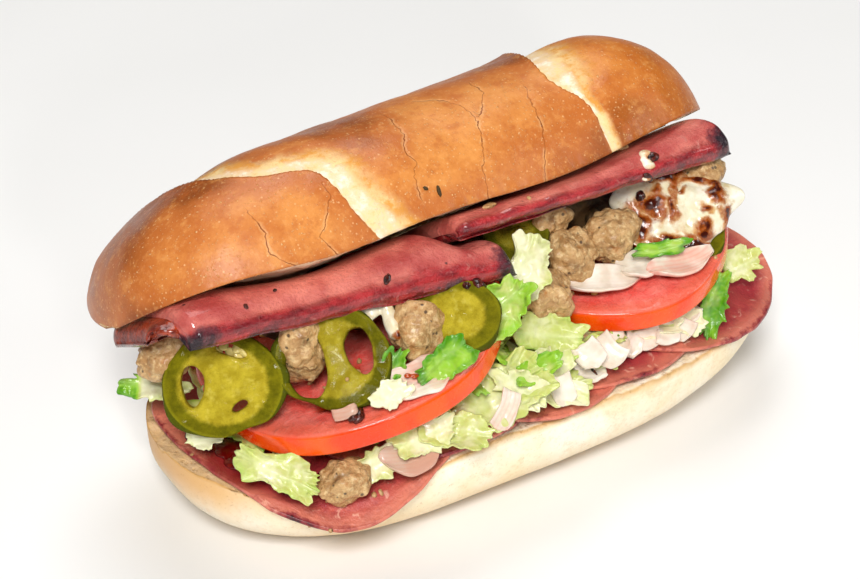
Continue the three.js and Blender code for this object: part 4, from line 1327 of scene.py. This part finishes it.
under_y = y[:, -1:] * (1 - share) + y[:, :1] * share
under_z = crown_rim(x, under_y) + 0.4 * bumps(xyz(x, under_y, 0), 3, 15, 2)
under_z = under_z + 0.3
rings = xyz(
    np.concatenate([x + 0 * y, x + 0 * under_y], 1),
    np.concatenate([y, under_y], 1),
    np.concatenate([z, under_z], 1),
)
ear = np.where(np.abs(ears[0]) < np.abs(ears[1]), ears[0], ears[1])
wide = np.where(np.abs(ears[0]) < np.abs(ears[1]), opening[0], opening[1])
pale_share = (ear > 0) * (1 - ramp(ear, 0.35 * wide, wide * 1.15))
bake = 0.42 + 0.34 * bumps(skin_points, 20, 16, 3) + 0.2 * ramp(rise, 0.75, 1)
bake = bake + 0.3 * bell(ear, -2.0, 5.0) * (ear < 0)
bake = bake + 0.4 * bell(x, 40, 7) * bell(degrees, 172, 10) * (ears[1] > 3.5) + 0.2 * ramp(x, 35, 60)
bake = bake - 0.25 * bell(x, -2, 26) * ramp(degrees, 140, 165) + 0.35 * (1 - rise) ** 4
edge_gap = np.minimum(under_y - y[:, -1:], y[:, :1] - under_y)


def all_round(skin_values, under_values=0.0, end=0.0):
    """Values over the crust and over the crumb under it."""
    both = np.concatenate([skin_values + 0 * y, under_values + 0 * under_y], 1)
    return over_rings(both, rings, end)


crust_look, tree, shader = new_material("upper_crust", 0.4)
skin = use_group(tree, baked_skin, Broad=85.0, Fine=1500.0)
crumb = use_group(tree, open_crumb, Holes=480.0)
bake_here = plus(tree, drawn(tree, "bake"), times(tree, plus(tree, skin["Mottle"], -0.5), 0.9))
crust = tint(tree, span(tree, bake_here, 0.1, 0.55), "#d68a44", "#bc6a30")
crust = tint(tree, span(tree, bake_here, 0.5, 0.95), crust, "#8e481c")
along = add_node(tree, "SeparateXYZ", {"Vector": place(tree)}).outputs["X"]
crust = tint(tree, span(tree, along, 0.02, 0.05, 0.0, 0.45), crust, "#c9721c")
fine_mottle = noise(tree, 1.5, 5, 0.7)
crust = tint(tree, span(tree, fine_mottle, 0.5, 0.72, 0.0, 0.45), crust, "#b5662c")
crust = tint(tree, span(tree, fine_mottle, 0.48, 0.3, 0.0, 0.3), crust, "#e6a866")
speckle = noise(tree, 4.2, 6, 0.7, 0.9)
crust = tint(tree, span(tree, speckle, 0.5, 0.66, 0.0, 0.55), crust, "#b4602a")
crust = tint(tree, span(tree, speckle, 0.47, 0.34, 0.0, 0.3), crust, "#e8a45a")
fleck = lone_dots(tree, 940.0, 0, 0.66, 0.26, 0.1)
crust = tint(tree, times(tree, fleck, 0.45), crust, "#f2c48c")
crust = tint(tree, times(tree, skin["Blister"], 0.8), crust, "#f2ca8e")
torn = noise(tree, 3.4, 6, 0.7)
patchy = plus(tree, torn, times(tree, noise(tree, 9, 4, 0.6, 0.6), 0.8))
opened = plus(tree, drawn(tree, "pale"), times(tree, sums(tree, "SUBTRACT", patchy, 0.9), 1.3))
opened = times(tree, span(tree, opened, 0.2, 0.95), span(tree, drawn(tree, "ear"), 0.0, 0.25))
dough = tint(tree, span(tree, torn, 0.38, 0.6), "#efcf92", "#d8953f")
near_lip = plus(tree, drawn(tree, "pale"), times(tree, torn, 0.9))
dough = tint(tree, span(tree, near_lip, 1.3, 1.62), dough, "#f8ecd2")
crust = tint(tree, opened, crust, dough)
lip_line = times(tree, span(tree, drawn(tree, "ear"), -0.55, -0.1), span(tree, drawn(tree, "ear"), 0.25, 0.0))
crust = tint(tree, times(tree, lip_line, 0.5), crust, "#9a5a26")
wander = times(tree, plus(tree, noise(tree, 0.9, 3, 0.65), -0.5), 0.6)
from_crack = sums(tree, "ABSOLUTE", plus(tree, drawn(tree, "crack"), wander), 0.0)
broken = span(tree, noise(tree, 5, 3, 0.6, 0.5), 0.42, 0.58)
flaked = times(tree, span(tree, from_crack, 0.8, 0.2), broken)
crust = tint(tree, times(tree, flaked, 0.3), crust, "#edc086")
split = times(tree, span(tree, from_crack, 0.17, 0.06), span(tree, broken, 0, 1, 0.6, 1.0))
crust = tint(tree, split, crust, "#84400e")
inside = patches(tree, (3, 4), 0.3, 0.7, "#ecd6a8", "#f8ecce")
# The crumb is darkened in its holes: painted shade in the pores.
inside = tint(tree, times(tree, crumb["Hole"], 0.6), inside, "#b88a56")
inside = tint(tree, span(tree, drawn(tree, "cut_depth"), 1.3, 0.2, 0.0, 0.8), inside, "#b9752e")
cover = drawn(tree, "crust")
fill(shader, {"Base Color": tint(tree, cover, inside, crust)})
satin = span(tree, skin["Mottle"], 0.3, 0.7, 0.44, 0.28)
matt = add_node(tree, "Mix", {0: opened, 2: satin, 3: 0.75}).outputs[0]
fill(shader, {"Roughness": add_node(tree, "Mix", {0: cover, 2: 0.85, 3: matt}).outputs[0]})
height_here = plus(tree, skin["Height"], times(tree, times(tree, torn, opened), 1.5))
height_here = sums(tree, "SUBTRACT", height_here, times(tree, flaked, 0.3))
both = add_node(tree, "Mix", {0: cover, 2: crumb["Height"], 3: times(tree, height_here, 0.5)}).outputs[0]
raise_surface(tree, shader, both, 0.4, 0.7)

add_piece(
    "upper_roll",
    [closed_skin(from_crown(rings))],
    crust_look,
    ["bread_top"],
    {
        "bake": all_round(bake),
        "pale": all_round(pale_share),
        "ear": all_round(ear),
        "crack": all_round(crack, 9.0),
        "crust": all_round(1.0, 0.0, 1.0),
        "cut_depth": all_round(9.0, edge_gap),
    },
)

# ---------------------------------------------------------------------------------------------
# Onion.
# Pieces of raw onion: slightly curved, see-through white layers with fine lines along them, the
# outer ones stained pink.

ONION_THICKNESS = 1.5
# Each: middle, the way it faces, (length, width, curl, wave), and how pink it is.
ONIONS = [
    ((-31.5, -31.6, 39.6), (-20, 62, 14), (17, 8, 1.4, 0.6), 0.8),
    ((20.6, -20.4, 38.6), (-20, 60, 0), (18.5, 6.5, 1.8, 1.2), 0.25),
    ((29.5, -20.9, 39.9), (-24, 64, 20), (10, 7, 1.2, 0.4), 0.2),
    ((37.6, -25.4, 40), (-22, 66, 14), (16, 6.5, 1.6, 0.4), 0.9),
    ((-34.5, -33.4, 23.4), (-20, 55, 10), (13, 8, 0.7, 0.2), 1.3),
    ((17.8, -28.8, 27.4), (-16, 60, 20), (9, 6.5, 0.8, 0.2), 0.1),
]

onion_look, tree, shader = new_material("onion", 0.2)
line = span(tree, drawn(tree, "line"), 0.4, 1.0)
colour = patches(tree, (4, 3), 0.3, 0.7, "#dccdb8", "#f0e6d8")
stain = span(tree, noise(tree, 7, 3, 0.5, 0.1), 0.38, 0.62)
stain = times(tree, plus(tree, times(tree, line, 0.35), stain), drawn(tree, "pink"))
colour = tint(tree, times(tree, stain, 0.75), colour, "#e0a08c")
colour = tint(tree, span(tree, drawn(tree, "pink"), 1.0, 1.3, 0.0, 0.7), colour, "#c29a84")
fill(shader, {
    "Base Color": colour,
    "Subsurface Weight": 0.25,
    "Subsurface Radius": (0.002, 0.0016, 0.0013),
    "Specular IOR Level": 0.2,
    "Coat Weight": 0.12,
    "Coat Roughness": 0.1,
})
raise_surface(tree, shader, plus(tree, times(tree, drawn(tree, "line"), 0.4), noise(tree, 2.0, 3)), 0.14, 0.4)


def onion_piece(size, seed, rows=48, columns=26, pointed=0.7):
    """A bent, tapering piece of one onion layer, and its fine lengthwise lines."""
    length, width, curl, wave = size
    u, v = np.meshgrid(np.linspace(-1, 1, rows), np.linspace(-1, 1, columns), indexing="ij")
    breadth = (1 - pointed * np.abs(u) ** 2.6) * (1 + 0.16 * bumps(xyz(u, 0, seed), 0.5, seed))
    x = u * length / 2 * (1 - 0.10 * v * v + 0.06 * bumps(xyz(v, np.sign(u), 0), 0.6, seed + 4))
    y = v * width / 2 * breadth + 0.16 * width * u * u
    z = curl * (v * v - 0.4) + wave * np.sin(2.4 * u + seed) + 0.3 * bumps(xyz(x, y, 0), 4, seed, 2)
    half = ONION_THICKNESS / 2 * np.sqrt(np.clip(1 - np.maximum(np.abs(u), np.abs(v)) ** 12, 0.06, 1))
    points, faces = closed_sheet(xyz(x, y, z + half), xyz(x, y, z - half))
    fine_lines = 0.5 + 0.5 * np.sin(v * width * 3.4 * breadth + np.sin(3 * u))
    return points, faces, np.tile(fine_lines, (2, 1)).ravel()


for k, (at, face, size, pink) in enumerate(ONIONS):
    points, faces, lines = onion_piece(size, k + 1)
    layer = (turned(points, facing(*face), at), faces)
    add_numbered("onion_piece", "onion", k, layer, onion_look, {"line": [lines], "pink": [pink]})

# ---------------------------------------------------------------------------------------------
# Lettuce leaves.
# The larger torn pieces that stick out of the filling, each bent and frilled in its own way, from
# white heart leaf to bright green outer leaf.

# Each: middle, the way it faces, (length, width, curl, wave), and how green it is.
LEAVES = [
    ((1, -19.6, 48.6), (-30, 34, 66), (13, 9.5, 2.4, 1.6), 0.1),
    ((-8.6, -26, 45.6), (-30, 30, 50), (14.5, 9.5, 2.8, 1.8), 0.5),
    ((-60, -26, 24.6), (-24, 44, -26), (16.5, 8, 2.4, 2.2), 0.28),
    ((-14, -32, 29.6), (-18, 44, 24), (23, 12, 2.4, 2.4), 0.28),
    ((-2.6, -30.4, 28.2), (-16, 40, -12), (20, 12, 2.2, 2.0), 0.08),
    ((3.6, -26.4, 34.4), (-14, 40, -20), (16, 10, 2.0, 1.8), 0.34),
    ((-27, -33.4, 43.4), (-30, 24, 40), (13, 7.4, 2.8, 1.2), 0.76),
    ((44.6, -28, 28.2), (-26, 20, 76), (15, 6.5, 2.2, 1.0), 0.95),
    ((-71, 4.6, 31.5), (-50, 36, 8), (14.5, 7, 1.6, 1.2), 0.2),
    ((60, -17.6, 28.4), (-20, 40, 20), (9, 7.5, 1.2, 0.9), 0.24),
]
for k, (at, face, size, hue) in enumerate(LEAVES):
    length, width, curl, wave = size
    points, faces, frill, vein = leaf(length, width, 0.7, curl, wave, k + 11, 70, 50)
    green = hue + 0.25 * frill * (0.3 + hue)
    if k == 8:
        green = hue + 0.8 * ramp(-points[:, 0], 3, 5)
    values = {"green": [np.clip(green, 0, 1)], "vein": [vein]}
    torn_leaf = (turned(points, facing(*face), at), faces)
    add_numbered("lettuce_leaf", "lettuce", k, torn_leaf, lettuce_look, values)

# Smaller torn scraps of the same leaves, caught between the fillings along the front.
SCRAPS = [
    ((-31.5, -33.2, 27.2), (-20, 45, 10), (13, 8, 2, 1.4), 0.2),
    ((-25, -34.6, 27), (-18, 50, -25), (14, 9, 2.2, 1.4), 0.3),
    ((-40.5, -30.5, 22.6), (-20, 40, 30), (11, 7, 1.6, 1), 0.12),
    ((-9.5, -33.6, 31), (-20, 35, -40), (11, 8, 2, 1.4), 0.12),
    ((-4.8, -32.8, 33), (-16, 40, 15), (10, 5.5, 2, 1.2), 0.62),
    ((2, -32, 25.6), (-20, 60, 10), (12, 7, 1.6, 1), 0.3),
    ((13, -28.6, 28), (-20, 45, -10), (11, 7, 1.6, 1), 0.35),
    ((30, -26.8, 28), (-20, 50, 10), (12, 7, 2.2, 1.5), -0.05),
    ((37, -27.2, 27.4), (-25, 40, -30), (11, 7.5, 2.2, 1.5), 0.0),
    ((-36, -28, 41.8), (-10, 30, 60), (9, 5, 1.6, 0.8), 0.9),
    ((-38.2, -32.6, 39.8), (-25, 55, 30), (9, 6, 1.0, 0.6), -0.1),
    ((33.5, -22.2, 43.4), (-24, 45, 5), (12, 4, 1, 0.6), 0.8),
    ((-69, -11.4, 28), (-40, 30, 10), (7.5, 4.6, 1.0, 0.7), 0.05),
]
shapes, greens, veins = [], [], []
for k, (at, face, (length, width, curl, wave), hue) in enumerate(SCRAPS):
    points, faces, frill, vein = leaf(length, width, 0.6, curl, wave, k + 41, 44, 32)
    shapes.append((turned(points, facing(*face), at), faces))
    greens.append(np.clip(hue + 0.2 * frill * (0.3 + hue), -0.1, 1))
    veins.append(vein)
add_piece("lettuce_scraps", shapes, lettuce_look, values={"green": greens, "vein": veins})

# ---------------------------------------------------------------------------------------------
# Diced onion.
# Loose squares of onion, a few millimetres across, heaped on the salami at the front right and
# dropped here and there among the leaves.

DICE = [
    ((27.2, -27.8, 26), (-20, 35, 10), (7.5, 4.4, 0.8, 0.2), 0.1),
    ((32.2, -27.9, 26.4), (10, 66, 64), (7.5, 5.5, 1.0, 0.3), 0.0),
    ((35.8, -28.2, 26), (-60, 30, -20), (6, 5.5, 0.9, 0.2), 0.2),
    ((33.6, -26, 29.2), (30, 40, 40), (5.2, 4, 0.8, 0.2), 0.1),
    ((39.4, -27, 27.2), (-50, 70, 60), (6, 4.2, 1.0, 0.2), 0.0),
    ((23.6, -27.4, 25.6), (-10, 25, 50), (5.5, 4.5, 0.8, 0.2), 0.2),
    ((9.4, -32.4, 31), (-30, 48, 35), (6.5, 5.5, 0.8, 0.3), 0.0),
    ((14.4, -30.8, 29), (-45, 58, -35), (7.5, 6, 0.9, 0.3), 0.1),
    ((10.4, -31.4, 25.6), (-20, 72, 10), (7, 5, 0.6, 0.2), 0.0),
    ((1.2, -34.4, 26.4), (-16, 45, 8), (5.5, 6.5, 0.7, 0.2), 0.0),
    ((-13.6, -36, 28.2), (-18, 50, 60), (8.5, 4.2, 1.4, 0.8), 0.8),
    ((-47, -29.2, 36.2), (-34, 38, 20), (5.2, 2.4, 0.6, 0.4), 1.3),
]
shapes, lines, pinks = [], [], []
for k, (at, face, size, pink) in enumerate(DICE):
    points, faces, fine_lines = onion_piece(size, k + 21, 26, 20, 0.08)
    shapes.append((turned(points, facing(*face), at), faces))
    lines.append(fine_lines)
    pinks.append(pink)
add_piece("diced_onion", shapes, onion_look, values={"line": lines, "pink": pinks})

# ---------------------------------------------------------------------------------------------
# Sauce.
# Thin tomato sauce, pooled dark red on the first slice of salami and left in smaller orange drops
# where it ran off the sausage.


def skins(*names):
    """Search trees of pieces that are already in place."""
    trees = []
    for name in names:
        mesh = bpy.data.objects[name].data
        corners = [v.co for v in mesh.vertices]
        trees.append(BVHTree.FromPolygons(corners, [p.vertices for p in mesh.polygons]))
    return trees


def settle(at, carriers):
    """The point on the carriers nearest to a place, and the way their skin faces there."""
    found = min((tree.find_nearest(Vector(at) * MM) for tree in carriers), key=lambda hit: hit[3])
    return np.array(found[0]) / MM, np.array(found[1])


DARK_POOL = [
    (-66.4, -3), (-65.6, -7), (-64.6, -10.5), (-63.4, -14), (-62, -17.2), (-60.6, -20), (-62.6, -9),
    (-61, -13), (-59.4, -16.6), (-57.6, -20.6), (-57, -25), (-54.4, -26), (-51.6, -25), (-48.6, -24.4),
]
ORANGE_DROPS = [(-32.6, -31.4, 41), (-31.2, -31.8, 40.8), (-33.8, -30.8, 41.2)]
lowest_slice = skins("salami_slice_1")
dark_beads = []
for k, (x, y) in enumerate(DARK_POOL):
    spot, _ = settle((x, y, 22 - 4 * ramp(-y, 20, 30)), lowest_slice)
    dark_beads.append((spot.tolist(), 3.0 - 0.5 * (k % 3), 0.26))
orange_beads = [(spot, 0.8 - 0.15 * (k % 2), 0.6) for k, spot in enumerate(ORANGE_DROPS)]

sauce_look, tree, shader = new_material("sauce", 0.12)
colour = tint(tree, drawn(tree, "orange"), "#560406", "#b0400a")
colour = patches(tree, (1.6, 4, 0.6), 0.5, 0.7, colour, "#8c1408", 0.4)
fill(shader, {"Base Color": colour, "Coat Weight": 0.8, "Coat Roughness": 0.04})
raise_surface(tree, shader, noise(tree, 1.8, 4, 0.6), 0.25, 0.6)
shapes = [melted(dark_beads, 0.3), melted(orange_beads, 0.25)]
add_piece("sauce", shapes, sauce_look, values={"orange": [0.0, 1.0]})

# ---------------------------------------------------------------------------------------------
# Crumbs and burnt bits.
# Crumbs of sausage, scorched drips, scraps of black pepper and one scab of melted cheese, each
# lying on the piece that is nearest under it.


def small_bits(spots, carriers, seed, detail=3):
    """Crumbled bits lying flat where they are put, each (place, size), and their pits."""
    made, pits = [], []
    for k, (at, size) in enumerate(spots):
        spot, normal = settle(at, carriers)
        points, faces, gap = crumbled(np.array(size) * 5, seed + k, detail)
        upright = np.array(Vector((0, 0, 1)).rotation_difference(Vector(normal)).to_matrix())
        flat = (points / 5) @ spun(seed + 2.3 * k).T @ upright.T
        made.append((flat + spot + normal * size[2] * 0.25, faces))
        pits.append(gap)
    return made, pits


hams = skins("folded_ham_1", "folded_ham_2", "folded_ham_3")
SCAB = [
    ((36.6, -11.8, 60.4), 1.5),
    ((35.6, -13, 59.6), 1.3),
    ((35.4, -14.2, 58.4), 1.5),
    ((34, -15, 57.6), 1.2),
]
beads = [(settle(at, hams)[0].tolist(), radius, 0.45) for at, radius in SCAB]
points, faces = melted(beads, 0.25)
scorch = 0.3 + 0.4 * bumps(points, 1.6, 46)
add_piece("cheese_scab", [(points, faces)], cheese_look, values={"burn": [scorch]})
burnt_look, tree, shader = new_material("burnt_bits", 0.24)
burnt_colour = patches(tree, (1.2, 4, 0.6), 0.4, 0.65, "#1f0a08", "#5a1c10")
fill(shader, {"Base Color": burnt_colour, "Coat Weight": 0.4})
raise_surface(tree, shader, noise(tree, 0.7, 4, 0.7), 0.2, 0.7)
on_ham = [
    ((-12.4, -22.2, 50.6), (3.4, 3.2, 3.4)),
    ((-14.8, -22.2, 50.8), (2.4, 2.2, 2.2)),
    ((-30.7, -18.6, 56.2), (2.8, 1.5, 0.8)),
    ((37.4, -13.2, 60), (3.4, 2.4, 1.4)),
    ((34.4, -15.6, 57.6), (3.8, 1.6, 1.2)),
    ((-60, -16, 59), (1.4, 1.0, 0.6)),
    ((-52.6, -13.6, 60.6), (1.2, 0.8, 0.5)),
]
on_cheese = [((35.4, -12.4, 51.2), (2.4, 2.2, 2.2))]
on_pepper = [((-45, -30.6, 35.8), (4.2, 3.0, 2.4)), ((-46.4, -30.8, 36.4), (2.2, 1.6, 1.4))]
on_dice = [((10.8, -32, 27), (2.2, 0.7, 0.5)), ((-1.8, -34.5, 30.6), (1.3, 1.0, 0.6))]
shapes = small_bits(on_ham, hams, 301)[0]
shapes += small_bits(on_cheese, skins("grilled_cheese"), 321)[0]
shapes += small_bits(on_pepper, skins("pepper_ring_2", "diced_onion"), 331)[0]
shapes += small_bits(on_dice, skins("diced_onion", "lettuce_leaf_5"), 341)[0]
add_piece("burnt_bits", shapes, burnt_look)

flake_look, tree, shader = new_material("dried_herb", 0.6)
fill(shader, {"Base Color": tint(tree, noise(tree, 0.8, 3), "#2a1c0c", "#54401c")})
crown = skins("upper_roll")
flakes = [
    ((-17, -10.1, 67.6), (1.4, 0.8, 0.6)),
    ((-14.4, -11.1, 67), (3.0, 0.9, 0.7)),
]
add_piece("herb_flakes", small_bits(flakes, crown, 351)[0], flake_look)

CRUMBS, CRUMBLING = 48, (0, 1, 2, 3, 4, 6)
rng = np.random.default_rng(61)
under_lumps = skins("salami_slice_1", "salami_slice_2", "tomato_slice_1", "tomato_slice_2", "pepper_ring_2")
spots = []
for k in range(CRUMBS):
    at, _ = LUMPS[CRUMBLING[k % 6]]
    drift = rng.normal(0, 1, 3) * (7, 4, 4) + (0, -3, -4)
    spots.append((tuple(np.array(at) + drift), tuple(rng.uniform(0.6, 1.7, 3) * (1, 1, 0.8))))
shapes, pits = small_bits(spots, under_lumps, 361, 2)
spots = [
    ((-2.8, -12.3, 60.4), (3.4, 2.0, 1.2)),
    ((35.9, -4.1, 58.4), (3.6, 2.2, 1.3)),
    ((6, -13.4, 60), (1.4, 1, 0.6)),
]
more, more_pits = small_bits(spots, hams, 421)
add_piece("sausage_crumbs", shapes + more, sausage_look, values={"pit": pits + more_pits})
